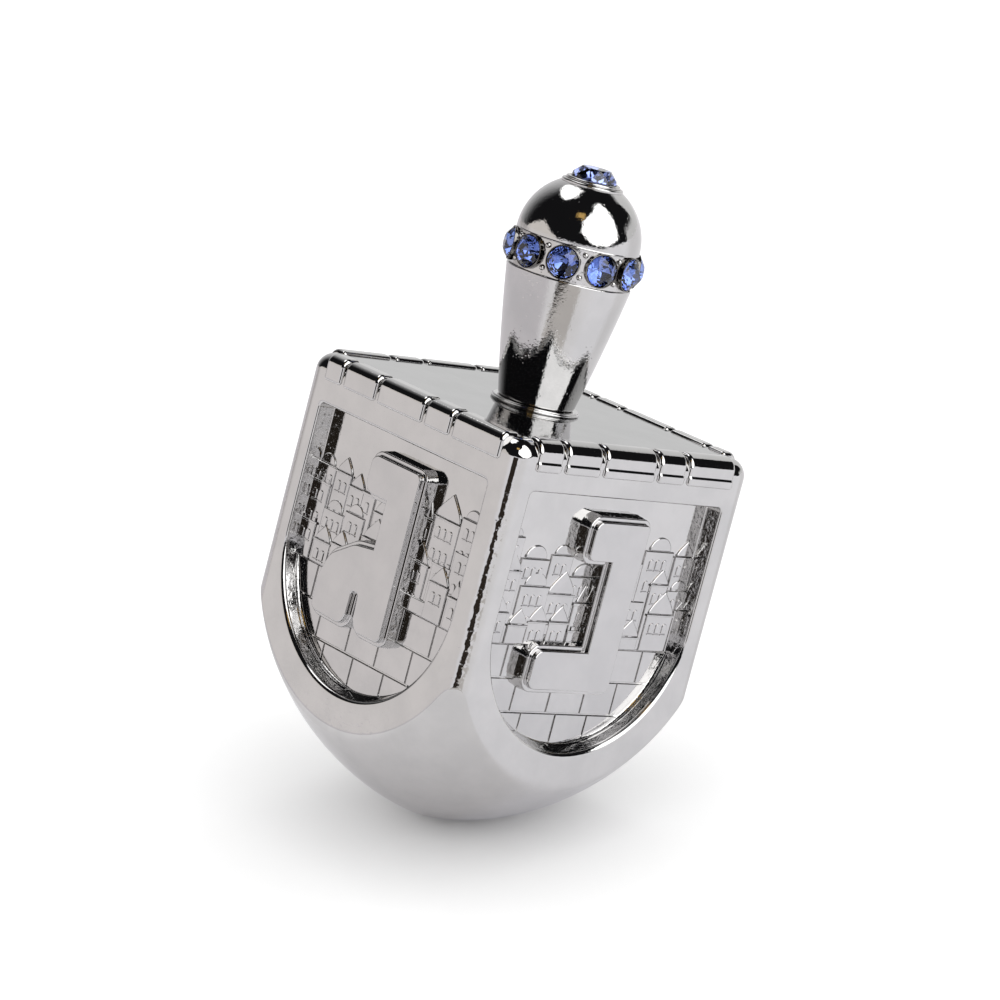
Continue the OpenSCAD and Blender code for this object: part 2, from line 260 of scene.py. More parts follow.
class MeshBuilder:
    """Collects surfaces with their exact normals, joins them and makes one Blender object."""

    WELD = 1e-4
    WELD_SHIFT = 3.77e-5

    def __init__(self, face: Face = Plan()) -> None:
        """Args: face: Where outlines lie; it may be changed between two surfaces."""
        self.face = face
        self.points: list[Array] = []
        self.normals: list[Array] = []
        self.faces: list[Array] = []
        self.slots: list[Array] = []
        self.count = 0

    def _keep(self, points: Array, normals: Array) -> Array:
        """Args: points, normals: (n, 3). Returns: the index of each point."""
        length = np.linalg.norm(normals, axis=1)[:, None]
        self.points.append(points)
        self.normals.append(normals / np.maximum(length, 1e-12))
        first, self.count = self.count, self.count + len(points)
        return np.arange(first, self.count)

    def _faces(self, quads: Array, slot: int) -> None:
        """Args: quads: (n, 4) indices. slot: Material slot."""
        self.faces.append(quads)
        self.slots.append(np.full(len(quads), slot))

    def grid(self, points: Array, normals: Array, wrap: bool = True, slot: int = 0) -> None:
        """Joins neighbours of a grid of points with four-sided faces.

        Args:
            points: Shape (rows, columns, 3).
            normals: Pointing out of the material, in a shape that fits the points.
            wrap: Joins the last column to the first.
            slot: Material slot.
        """
        normals = np.broadcast_to(normals, points.shape)
        index = self._keep(points.reshape(-1, 3), normals.reshape(-1, 3))
        index = index.reshape(points.shape[:2])
        if wrap:
            index = np.hstack([index, index[:, :1]])
        quads = np.stack([index[:-1, :-1], index[1:, :-1], index[1:, 1:], index[:-1, 1:]], -1)
        self._faces(quads.reshape(-1, 4), slot)

    def fill(self, loops: list[Array], out: Array) -> None:
        """Covers a flat area between an outer loop and the loops of its holes.

        Args:
            loops: Each (n, 3), the outer one first.
            out: Direction that the area faces.
        """
        tidy = [p[np.linalg.norm(p - np.roll(p, 1, 0), axis=1) > 1e-6] for p in loops]
        points = np.concatenate(tidy)
        index = self._keep(points, np.tile(out, (len(points), 1)))
        parts = tessellate_polygon([list(map(Vector, p.tolist())) for p in tidy])
        tris = index[np.array(parts, int).reshape(-1, 3)]
        self._faces(np.hstack([tris, tris[:, :1]]), 0)

    def cover(self, depth: float, *loops: Array, sign: float = 1.0) -> None:
        """Args: depth: On the face. loops: Outer one first. sign: -1 where it faces inward."""
        self.fill([self.face.place(p, depth) for p in loops], sign * self.face.axes()[2])

    def flat_faces(self, points: Array, inside: Array, slot: int) -> None:
        """Plane facets, each with its own normal, worked out as the cross of two edges.

        Args:
            points: Corners of every facet, shape (n, 4, 3); a triangle repeats its first corner.
            inside: A point inside the body, which tells inward from outward.
            slot: Material slot.
        """
        normal = np.cross(points[:, 1] - points[:, 0], points[:, 2] - points[:, 0])
        side = np.sign(((points.mean(1) - inside) * normal).sum(1))[:, None]
        index = self._keep(points.reshape(-1, 3), np.repeat(normal * side, 4, 0))
        self._faces(index.reshape(-1, 4), slot)

    def carry(self, outline: Outline, shift: Array, depth: Array, aside: Array, away: Array,
              slot: int = 0) -> None:
        """Carries a profile along an outline; it may change on the way.

        The point of a row is outline + shift * mitre at the depth, and its normal is
        aside * outline normal + away * the face's outward direction.

        Args:
            outline: Path of the profile, n points.
            shift: Offsets, which fit (rows, n) as the next three do.
            depth: Distances from the axis.
            aside: In-plane part of the normals.
            away: Outward part of the normals.
            slot: Material slot.
        """
        shape = len(shift), len(outline.points)
        shift, depth, aside, away = (np.broadcast_to(v, shape)
                                     for v in (shift, depth, aside, away))
        flat = outline.points[None] + shift[..., None] * outline.mitres[None]
        aim = aside[..., None] * outline.normals[None]
        self.grid(self.face.place(flat, depth), self.face.place(aim, away), slot=slot)

    def sweep(self, outline: Outline, profile: list[Stretch], slot: int = 0) -> None:
        """Carries the same profile all along an outline.

        Args:
            outline: Path of the profile.
            profile: Stretches of (offset, depth) points with normals; they meet at creases.
            slot: Material slot.
        """
        for points, normals in profile:
            self.carry(outline, points[:, :1], points[:, 1:], normals[:, :1], normals[:, 1:],
                       slot)

    def raise_shape(self, outline: Outline, foot: float, top: float, edge: float,
                    lean: float = 0.02) -> None:
        """A closed solid on a face: a wall that leans in a little, a rounded edge and a flat top.

        Args:
            outline: Shape at the foot of the wall.
            foot: Distance of the foot from the axis.
            top: Distance of the top from the axis.
            edge: Radius of the rounded edge.
            lean: How far the wall leans in.
        """
        self.sweep(outline, [line((0.0, foot), (-lean, top - edge)),
                             arc((-lean - edge, top - edge), edge, 0, 90, 6)])
        self.cover(top, outline.moved(-lean - edge))
        self.cover(foot, outline.points, sign=-1.0)

    def lathe(self, profile: list[Stretch], segments: int, slot: int = 0,
              frame: Frame | None = None) -> None:
        """Turns a profile (radius, height) about an axis: r * (cos a, sin a) across, h along.

        Args:
            profile: Stretches of points with normals; they meet at creases.
            segments: Steps around.
            slot: Material slot.
            frame: Foot of the axis and its three directions; upright through the origin if None.
        """
        foot, side, other, along = frame or (np.zeros(3), *np.eye(3))
        turn = rays(np.linspace(0, 2 * math.pi, segments, endpoint=False))
        ray = turn[:, :1] * side + turn[:, 1:] * other
        for points, normals in profile:
            place = foot + points[:, None, :1] * ray + points[:, None, 1:] * along
            self.grid(place, normals[:, None, :1] * ray + normals[:, None, 1:] * along, slot=slot)

    def build(self, name: str, *materials: bpy.types.Material) -> bpy.types.Object:
        """Welds equal points, drops empty faces, turns faces outward and makes the object.

        Args:
            name: Object name.
            materials: One for each slot.

        Returns:
            The object, at the origin, with its place in its mesh.
        """
        points, normals = np.concatenate(self.points), np.concatenate(self.normals)
        quads, slots = np.concatenate(self.faces), np.concatenate(self.slots)
        key = np.round((points + self.WELD_SHIFT) / self.WELD).astype(np.int64)
        _, first, same = np.unique(key, axis=0, return_index=True, return_inverse=True)
        place, corner = points[first], same.reshape(-1)[quads]
        double = corner == np.roll(corner, -1, 1)
        whole = (corner[:, 0] != corner[:, 2]) & (corner[:, 1] != corner[:, 3])
        keep = (double.sum(1) == 1) | (double.sum(1) == 0) & whole
        quads, slots, corner, double = quads[keep], slots[keep], corner[keep], double[keep]
        # The repeated corner of a triangle is rolled to the last place
        three = double.any(1)[:, None]
        shift = np.where(three, (np.argmax(double, 1)[:, None] + np.arange(1, 5)) % 4, np.arange(4))
        quads, corner = (np.take_along_axis(v, shift, 1) for v in (quads, corner))
        p = place[corner]
        facing = np.cross(p[:, 2] - p[:, 0],
                          np.where(three, p[:, 0] - p[:, 1], p[:, 3] - p[:, 1]))
        facing = np.where(three, np.cross(p[:, 1] - p[:, 0], p[:, 2] - p[:, 0]), facing)
        good = np.linalg.norm(facing, axis=1) > 1e-9
        flip = ((facing * normals[quads].sum(1)).sum(1) < 0)[:, None]
        order = np.where(flip, np.where(three, [0, 2, 1, 3], [0, 3, 2, 1]), np.arange(4))
        quads, corner = (np.take_along_axis(v, order, 1)[good] for v in (quads, corner))
        sizes, slots = np.where(three[:, 0], 3, 4)[good], slots[good]
        used = np.arange(4) < sizes[:, None]
        loops, loop_normals = corner[used], normals[quads[used]]
        mesh = bpy.data.meshes.new(name)
        mesh.vertices.add(len(place))
        mesh.vertices.foreach_set("co", (place * MM).ravel())
        mesh.loops.add(len(loops))
        mesh.loops.foreach_set("vertex_index", loops.astype(np.int32))
        mesh.polygons.add(len(sizes))
        starts = np.concatenate([[0], np.cumsum(sizes)[:-1]])
        mesh.polygons.foreach_set("loop_start", starts.astype(np.int32))
        for material in materials:
            mesh.materials.append(material)
        mesh.polygons.foreach_set("material_index", slots.astype(np.int32))
        mesh.polygons.foreach_set("use_smooth", np.ones(len(sizes), bool))
        mesh.update(calc_edges=True)
        if mesh.validate(clean_customdata=False):
            LOG.warning("%s: some faces were mended", name)
        if len(mesh.loops) == len(loop_normals):
            mesh.normals_split_custom_set(loop_normals.tolist())
        piece = bpy.data.objects.new(name, mesh)
        bpy.context.scene.collection.objects.link(piece)
        LOG.info("%s: %d faces", name, len(mesh.polygons))
        return piece

    def finish(self, name: str, slot: str, node: str, *materials: bpy.types.Material) -> None:
        """Args: name, node: Of the piece, and what it stands for. slot: Not used. materials: By
        slot.
        """
        piece = self.build(name, *materials)
        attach(piece, "root")
        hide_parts(node)


# Materials


class Tree:
    """Shorthand for adding and joining the nodes of one node tree."""

    def __init__(self, owner: bpy.types.ID) -> None:
        """Args: owner: A material or world, or a group, whose node tree is emptied."""
        if not isinstance(owner, bpy.types.NodeTree):
            owner.use_nodes = True
            owner = owner.node_tree
        self.tree = owner
        self.tree.nodes.clear()

    def add(self, kind: str, inputs: dict | None = None, **settings: object) -> bpy.types.Node:
        """Adds a node.

        Args:
            kind: Node type, without the word Shader before it.
            inputs: Value or source socket by input name or number; a colour may lack its alpha.
            settings: Properties of the node.

        Returns:
            The node.
        """
        node = self.tree.nodes.new(kind if kind.startswith("Node") else f"ShaderNode{kind}")
        for name, value in settings.items():
            setattr(node, name, value)
        for name, value in (inputs or {}).items():
            if isinstance(value, Socket):
                self.tree.links.new(value, node.inputs[name])
            elif isinstance(value, tuple) and node.inputs[name].type == "RGBA":
                node.inputs[name].default_value = (*value, 1.0)
            else:
                node.inputs[name].default_value = value
        return node

    def math(self, operation: str, a: object, b: object = 0.0) -> Socket:
        """Args: operation, a, b: As in the Math node. Returns: its value."""
        return self.add("Math", {0: a, 1: b}, operation=operation).outputs[0]

    def times(self, a: object, b: object) -> Socket:
        """Args: a, b: Values. Returns: a * b."""
        return self.math("MULTIPLY", a, b)

    def plus(self, a: object, b: object) -> Socket:
        """Args: a, b: Values. Returns: a + b."""
        return self.math("ADD", a, b)

    def minus(self, a: object, b: object) -> Socket:
        """Args: a, b: Values. Returns: a - b."""
        return self.math("SUBTRACT", a, b)

    def excess(self, a: object, b: object, slope: float) -> Socket:
        """Args: a, b: Values. slope: Factor. Returns: slope * max(a - b, 0)."""
        return self.times(self.math("MAXIMUM", self.minus(a, b), 0.0), slope)

    def ramp(self, value: object, low: float, high: float) -> Socket:
        """Args: value: What to read. low, high: Where 0 and 1 are. Returns: a smooth step."""
        node = self.add("MapRange", {"Value": value, "From Min": low, "From Max": high},
                        interpolation_type="SMOOTHSTEP")
        return node.outputs["Result"]

    def both(self, *masks: Socket) -> Socket:
        """Args: masks: Masks. Returns: their product."""
        result = masks[0]
        for mask in masks[1:]:
            result = self.times(result, mask)
        return result

    def band(self, value: object, low: tuple[float, float] | None = None,
             high: tuple[float, float] | None = None) -> Socket:
        """Args: value: What to read. low, high: Limit and softness. Returns: 1 between them."""
        masks = []
        if low:
            masks.append(self.ramp(value, low[0] - low[1], low[0] + low[1]))
        if high:
            masks.append(self.ramp(value, high[0] + high[1], high[0] - high[1]))
        return self.both(*masks)

    def spot(self, kind: str = "Object") -> Socket:
        """Args: kind: Of the texture coordinates. Returns: them."""
        return self.add("TexCoord").outputs[kind]

    def parts(self, value: Socket) -> bpy.types.NodeOutputs:
        """Args: value: A vector. Returns: its x, y and z."""
        return self.add("SeparateXYZ", {0: value}).outputs

    def noise(self, vector: Socket, scale: object, detail: float, roughness: float = 0.5
              ) -> Socket:
        """Args: vector, scale, detail, roughness: As in the node. Returns: its value."""
        return self.add("TexNoise", {"Vector": vector, "Scale": scale, "Detail": detail,
                                     "Roughness": roughness}).outputs[0]

    def azimuth(self, xyz: bpy.types.NodeOutputs) -> Socket:
        """Args: xyz: Three coordinates. Returns: degrees from -Y, counted towards +X."""
        turn = self.math("ARCTAN2", xyz[0], self.times(xyz[1], -1.0))
        return self.times(turn, 180 / math.pi)

    def mix(self, share: object, a: object, b: object) -> Socket:
        """Args: share: 0 to 1. a, b: Colours. Returns: the mixed colour."""
        return self.add("Mix", {0: share, 6: a, 7: b}, data_type="RGBA").outputs[2]

    def paint(self, ground: object, *cards: tuple[object, object]) -> Socket:
        """Args: ground: Colour. cards: Mask and colour of each. Returns: the painted colour."""
        for mask, colour in cards:
            ground = self.mix(mask, ground, colour)
        return ground


class CastGroup:
    """The shared group for plated castings: slow waves, fine grain, pits and smudges.

    Height = waves + grain - pits, in millimetres. Roughness rises with the smudges. Tone is a
    slow cloud from 0 to 1.
    """

    NAME = "cast_mirror"
    INPUTS = ("Wave Size", "Wave Height", "Grain Size", "Grain Height", "Pit Size", "Pit Depth",
              "Gloss Loss", "Smudge")
    OUTPUTS = ("Height", "Roughness", "Tone")

    def build(self) -> None:
        """Makes the group, under its name."""
        group = bpy.data.node_groups.new(self.NAME, "ShaderNodeTree")
        for names, side in ((self.INPUTS, "INPUT"), (self.OUTPUTS, "OUTPUT")):
            for name in names:
                group.interface.new_socket(name=name, in_out=side, socket_type="NodeSocketFloat")
        tree = Tree(group)
        given = tree.add("NodeGroupInput").outputs
        spot = tree.spot()
        scales = [tree.math("DIVIDE", 1.0 / MM, given[name])
                  for name in ("Wave Size", "Grain Size", "Pit Size")]
        waves = tree.noise(spot, scales[0], 2.0, 0.45)
        grain = tree.noise(spot, scales[1], 3.0, 0.55)
        cells = tree.add("TexVoronoi", {"Vector": spot, "Scale": scales[2], "Randomness": 1.0},
                         feature="F1")
        tone = tree.ramp(tree.noise(spot, 260.0, 4.0, 0.6), 0.3, 0.7)
        pits = tree.minus(1.0, tree.ramp(cells.outputs["Distance"], 0.04, 0.22))
        height = tree.plus(tree.times(waves, given["Wave Height"]),
                           tree.times(grain, given["Grain Height"]))
        height = tree.minus(height, tree.times(pits, given["Pit Depth"]))
        rough = tree.plus(given["Gloss Loss"], tree.times(tone, given["Smudge"]))
        tree.add("NodeGroupOutput", {"Height": height, "Roughness": rough, "Tone": tone})


@dataclass(frozen=True)
class Finish:
    """A finish whose colour drifts between two tones."""

    name: str
    light: Colour
    dark: Colour

    def shade(self, tree: Tree) -> dict:
        """Args: tree: The material's nodes. Returns: inputs of the Principled shader."""
        raise NotImplementedError

    def make(self) -> bpy.types.Material:
        """Returns: the material."""
        material = bpy.data.materials.new(self.name)
        tree = Tree(material)
        shader = tree.add("BsdfPrincipled", self.shade(tree))
        tree.add("OutputMaterial", {"Surface": shader.outputs[0]})
        return material


@dataclass(frozen=True)
class Plating(Finish):
    """Bright plating on a casting, with the waviness and pits of the metal below."""

    light: Colour = (0.62, 0.612, 0.605)
    dark: Colour = (0.57, 0.565, 0.56)
    wave_size: float = 2.6
    wave_height: float = 0.004
    grain_size: float = 0.45
    grain_height: float = 0.0006
    pit_size: float = 0.9
    pit_depth: float = 0.0012
    roughness: float = 0.035
    smudge: float = 0.03
    seam: float = 0.0

    def seam_height(self, tree: Tree) -> Socket:
        """Rough metal along the upright corners, where the halves of the mould met.

        Args:
            tree: The material's nodes.

        Returns:
            Its height in millimetres, 0 away from the corners and near the top.
        """
        spot = tree.spot()
        xyz = tree.parts(spot)
        near = tree.math("MINIMUM", *(tree.math("ABSOLUTE", v) for v in xyz[:2]))
        mask = tree.both(tree.band(near, low=(0.0136, 0.0005)),
                         tree.band(xyz[2], high=(0.0345, 0.003)))
        return tree.times(tree.both(tree.noise(spot, 1000.0, 2.0, 0.45), mask), self.seam)

    def shade(self, tree: Tree) -> dict:
        """Args: tree: The material's nodes. Returns: inputs of the Principled shader."""
        values = (self.wave_size, self.wave_height, self.grain_size, self.grain_height,
                  self.pit_size, self.pit_depth, self.roughness, self.smudge)
        cast = tree.add("Group", dict(zip(CastGroup.INPUTS, values)),
                        node_tree=bpy.data.node_groups[CastGroup.NAME]).outputs
        height = cast["Height"]
        if self.seam:
            height = tree.plus(height, self.seam_height(tree))
        bump = tree.add("Bump", {"Height": height, "Strength": 1.0, "Distance": MM})
        return {"Base Color": tree.mix(cast["Tone"], self.light, self.dark), "Metallic": 1.0,
                "Normal": bump.outputs[0], "Roughness": cast["Roughness"]}


@dataclass(frozen=True)
class TurnedSteel(Finish):
    """Zinc-coated steel with turning marks around the upright axis."""

    light: Colour = (0.62, 0.63, 0.64)
    dark: Colour = (0.42, 0.43, 0.45)
    marks: tuple[float, float, float] = (600, 600, 9000)

    def shade(self, tree: Tree) -> dict:
        """Args: tree: The material's nodes. Returns: inputs of the Principled shader."""
        spot = tree.spot()
        marks = tree.add("Mapping", {"Vector": spot, "Scale": self.marks})
        cloud = tree.noise(spot, 900.0, 3.0)
        bump = tree.add("Bump", {"Height": tree.noise(marks.outputs[0], 1.0, 3.0),
                                 "Strength": 0.6, "Distance": 0.006 * MM})
        return {"Base Color": tree.mix(cloud, self.light, self.dark), "Metallic": 1.0,
                "Normal": bump.outputs[0], "Roughness": tree.plus(0.24, tree.times(cloud, 0.16))}


@dataclass(frozen=True)
class StoneGlass(Finish):
    """Blue cut glass, a little deeper in places, with hardly any haze."""

    light: Colour = (0.30, 0.41, 0.80)
    dark: Colour = (0.19, 0.28, 0.68)

    def cloudy(self, tree: Tree, scale: float, haze: float, swing: float) -> dict:
        """Args: tree, scale, haze, swing: Cloud and haze. Returns: colour and roughness."""
        cloud = tree.noise(tree.spot(), scale, 2.0)
        return {"Base Color": tree.mix(tree.ramp(cloud, 0.35, 0.65), self.light, self.dark),
                "Roughness": tree.plus(haze, tree.times(cloud, swing))}

    def shade(self, tree: Tree) -> dict:
        """Args: tree: The material's nodes. Returns: inputs of the Principled shader."""
        return {**self.cloudy(tree, 420.0, 0.0, 0.02), "Metallic": 0.0, "IOR": 1.62,
                "Transmission Weight": 1.0}


@dataclass(frozen=True)
class StoneFoil(StoneGlass):
    """The mirror backing on the lower facets of a stone."""

    light: Colour = (0.80, 0.84, 0.95)
    dark: Colour = (0.55, 0.60, 0.80)

    def shade(self, tree: Tree) -> dict:
        """Args: tree: The material's nodes. Returns: inputs of the Principled shader."""
        return {**self.cloudy(tree, 700.0, 0.02, 0.05), "Metallic": 1.0}


class Palette:
    """Every finish of the part, made once."""

    def __init__(self) -> None:
        """Makes the shared group and the materials."""
        CastGroup().build()
        self.body = Plating("plated_body", grain_height=0.006, grain_size=0.4, seam=0.07).make()
        self.walls = Plating("plated_walls", grain_height=0.028, grain_size=0.55, pit_size=0.5,
                             pit_depth=0.01).make()
        self.letters = Plating("plated_letters", (0.59, 0.582, 0.58), (0.55, 0.545, 0.545),
                               grain_height=0.005).make()
        self.town = Plating("plated_town", (0.60, 0.592, 0.59), (0.54, 0.535, 0.535),
                            wave_height=0.002, grain_height=0.005, roughness=0.05).make()
        self.plate = Plating("plated_lid", (0.45, 0.45, 0.45), (0.415, 0.415, 0.415),
                             wave_size=6.0, wave_height=0.003, grain_height=0.0003,
                             pit_depth=0.0006, roughness=0.03).make()
        self.handle = Plating("plated_handle", wave_size=1.6, grain_size=0.32, grain_height=0.011,
                              pit_size=0.6, pit_depth=0.007, roughness=0.03).make()
        self.ring = Plating("plated_ring", wave_size=1.0, grain_height=0.001,
                            roughness=0.05).make()
        # Near-black plating for the tubes round the belt stones, a painted shade for the gap
        # between each stone and its cup.
        self.recess = Plating("painted_shade_recess", (0.34, 0.33, 0.32), (0.05, 0.045, 0.04),
                              grain_size=0.5, grain_height=0.02, roughness=0.1).make()
        self.steel = TurnedSteel("turned_steel").make()
        self.glass = StoneGlass("blue_stone").make()
        self.pale_glass = StoneGlass("pale_blue_stone", (0.60, 0.67, 0.97),
                                     (0.42, 0.50, 0.92)).make()
        self.foil = StoneFoil("stone_backing").make()


# The body


@dataclass
class BodyShell:
    """The hollow casting: rounded underside, four framed faces, rolled top edge and pocket."""

    corner: float = 2.0
    dome_radius: float = 26.3
    dome_offset: float = 4.4
    tip: float = 6.0
    blend: float = 1.3
    dome_wall: float = 2.6
    roll: float = 1.68
    lip: float = 0.12
    cavity_half: float = 11.2
    panel_half: float = 12.1
    panel_foot: float = 11.4
    panel_top: float = 35.7
    panel_corner: float = 0.5
    # Edge, hollow and lean of the field's wall at its sides, and what its foot has more
    wall_side: tuple[float, float, float] = (0.32, 0.16, 0.14)
    wall_foot: tuple[float, float, float] = (0.14, 0.5, 0.16)
    soft_height: float = 5.0
    column_step: float = 0.45

    def columns(self, half: float) -> tuple[Array, Array]:
        """Walks round a square with rounded corners, with as many points for every size.

        Args:
            half: Half the width of the square.

        Returns:
            Points and outward normals, each (n, 2), anticlockwise from the -Y face.
        """
        reach = HALF - self.corner
        count = int(2 * reach / self.column_step)
        x = np.linspace(-reach, reach, count) * (half - self.corner) / reach
        ray = rays(np.radians(np.linspace(-90, 0, 15)[1:-1]))
        bend = np.array([half - self.corner, self.corner - half]) + self.corner * ray
        side = np.concatenate([np.stack([x, np.full(count, -half)], 1), bend])
        aim = np.concatenate([np.tile([0.0, -1.0], (count, 1)), ray])
        turns = [np.array([[c, s], [-s, c]]) for c, s in ((1, 0), (0, 1), (-1, 0), (0, -1))]
        self.flat_count, self.side_count = count, len(side)
        return np.concatenate([side @ t for t in turns]), np.concatenate([aim @ t for t in turns])

    def underside(self, points: Array, aims: Array, wall: float, blend: float) -> Stretch:
        """Half sections of the underside through each column, from the tip to the wall.

        In the plane of a column the section is the tip's arc, then the long arc, then a fillet
        that touches both the long arc and the upright wall. The normal is the cross product of
        the two directions in which the surface runs.

        Args:
            points: Columns, (n, 2).
            aims: Their normals.
            wall: How far the surface lies inside the outer one.
            blend: Radius of the fillet, or 0 for none.

        Returns:
            Places and normals, each (rows, n, 3).
        """
        big, tip, off = self.dome_radius - wall, self.tip - wall, self.dome_offset
        mid = self.tip + math.sqrt((self.dome_radius - self.tip) ** 2 - off**2)
        rho = np.linalg.norm(points, axis=1)
        ray = points / rho[:, None]
        across = np.stack([-ray[:, 1], ray[:, 0]], 1)
        along = np.stack([-aims[:, 1], aims[:, 0]], 1)
        slope = rho * (ray * along).sum(1) / (across * along).sum(1)
        inner = rho - blend + off
        drop = np.sqrt((big - blend) ** 2 - inner**2)
        fillet_z = mid - drop
        last = np.arctan2(fillet_z - mid, inner)
        start = math.atan2(self.tip - mid, off)
        theta_tip = np.linspace(-math.pi / 2, start, 9)[:, None] + 0 * rho
        theta_arc = start + np.linspace(0, 1, 44)[1:, None] * (last - start)
        theta_fil = last - np.linspace(0, 1, 11 if blend else 1)[1:, None] * last
        theta = np.concatenate([theta_tip, theta_arc, theta_fil])
        radial = np.concatenate([tip * np.cos(theta_tip), big * np.cos(theta_arc) - off,
                                 rho - blend + blend * np.cos(theta_fil)])
        height = np.concatenate([self.tip + tip * np.sin(theta_tip), mid + big * np.sin(theta_arc),
                                 fillet_z + blend * np.sin(theta_fil)])
        place = np.concatenate([radial[..., None] * ray, height[..., None]], 2)
        aim = np.concatenate([np.cos(theta)[..., None] * ray, np.sin(theta)[..., None]], 2)
        if blend:
            c, s = np.cos(theta_fil)[..., None], np.sin(theta_fil)[..., None]
            reach = (rho - blend)[:, None] + blend * c
            rise = np.broadcast_to((inner / drop * slope)[:, None], reach.shape)
            around = np.concatenate([across * reach + ray * slope[:, None], rise], 2)
            aim[-len(theta_fil):] = np.cross(around, np.concatenate([-s * ray, c], 2))
        return place, -aim if wall else aim

    def shell(self, builder: MeshBuilder) -> None:
        """Args: builder: Gets the casting without its faces' fields."""
        plan = builder.face = Plan()
        points, aims = self.columns(HALF)
        place, aim = self.underside(points, aims, 0.0, self.blend)
        builder.grid(place, aim)
        self.arch = place[-1, :, 2]
        start, lip_top, inside = RIM - self.roll, RIM - self.lip, -self.roll - self.lip
        level = np.stack([self.arch, np.full(len(points), start)])
        upright, out = plan.place(points[None], level), plan.place(aims, 0.0)
        for k in range(4):
            pick = np.arange(self.flat_count - 1, self.side_count + 1) + k * self.side_count
            pick %= len(points)
            builder.grid(upright[:, pick], out[pick], wrap=False)
        builder.sweep(Outline(points, aims, aims),
                      [arc((-self.roll, start), self.roll, 0, 90, 13),
                       arc((-self.roll, lip_top), self.lip, 90, 180, 5),
                       line((inside, lip_top), (inside, POCKET))])
        inner, inner_aims = self.columns(self.cavity_half)
        shelf = plan.place(np.stack([points + inside * aims, inner]), POCKET)
        builder.grid(shelf, UP)
        place, aim = self.underside(inner, inner_aims, self.dome_wall, 0.0)
        builder.grid(place, aim)
        builder.grid(np.stack([place[-1], shelf[1]]), plan.place(-inner_aims, 0.0))

    def panel(self) -> Outline:
        """Returns: the opening of a recessed field, straight above and half round below."""
        half, spring = self.panel_half, self.panel_foot + self.panel_half
        foot = rays(np.radians(np.linspace(-180, 0, 73)[1:-1]))
        corner = Outline.box(-half, spring - 5, half, self.panel_top, self.panel_corner)
        high = corner.points[:, 1] > spring + 1
        points = np.concatenate([[[-half, spring]], np.array([0, spring]) + half * foot,
                                 [[half, spring]], corner.points[high]])
        normals = np.concatenate([[[-1.0, 0.0]], foot, [[1.0, 0.0]], corner.normals[high]])
        return Outline(points, normals, normals)

    def frame(self, builder: MeshBuilder) -> None:
        """Args: builder: Gets the border of its face, and the walls and floor of the field."""
        opening = self.panel()
        first = builder.face.number * self.side_count
        reach = HALF - self.corner
        x = np.linspace(-reach, reach, self.flat_count)
        low = np.stack([x, self.arch[first:first + self.flat_count]], 1)
        high = np.stack([x[::-1], np.full(self.flat_count, RIM - self.roll)], 1)
        # The border's slim strip around the opening keeps the rest of it exactly flat
        start = self.wall_side[0]
        builder.cover(HALF, np.concatenate([low, high]), opening.moved(start))
        deep = HALF - FIELD_DEPTH
        # The wall is crisp beside the straight sides, softer and leaning round the foot
        fall = self.panel_foot + self.panel_half - opening.points[:, 1]
        fall = np.clip(fall / self.soft_height, 0, 1)
        soft = fall * fall * (3 - 2 * fall)
        edge, foot, lean = (side + more * soft
                            for side, more in zip(self.wall_side, self.wall_foot))
        high, low = HALF - edge, deep + foot
        b = np.radians(np.linspace(90, 180, 9))[:, None]
        builder.carry(opening, start + edge * np.cos(b), high + edge * np.sin(b), np.cos(b),
                      np.sin(b))
        share = np.linspace(0, 1, 3)[:, None]
        builder.carry(opening, start - edge - share * lean, high + share * (low - high),
                      low - high, lean, 1)
        a = np.radians(np.linspace(0, -90, 9))[:, None]
        builder.carry(opening, start - edge - lean - foot + foot * np.cos(a),
                      low + foot * np.sin(a), -np.cos(a), -np.sin(a), 1)
        builder.cover(deep, opening.moved((start - edge - lean - foot)[:, None]))

    def build(self, palette: Palette) -> None:
        """Args: palette: The finishes."""
        builder = MeshBuilder()
        self.shell(builder)
        for number in range(4):
            builder.face = Face(number)
            self.frame(builder)
        builder.finish("body_casting", "body", "body_shell", palette.body, palette.walls)


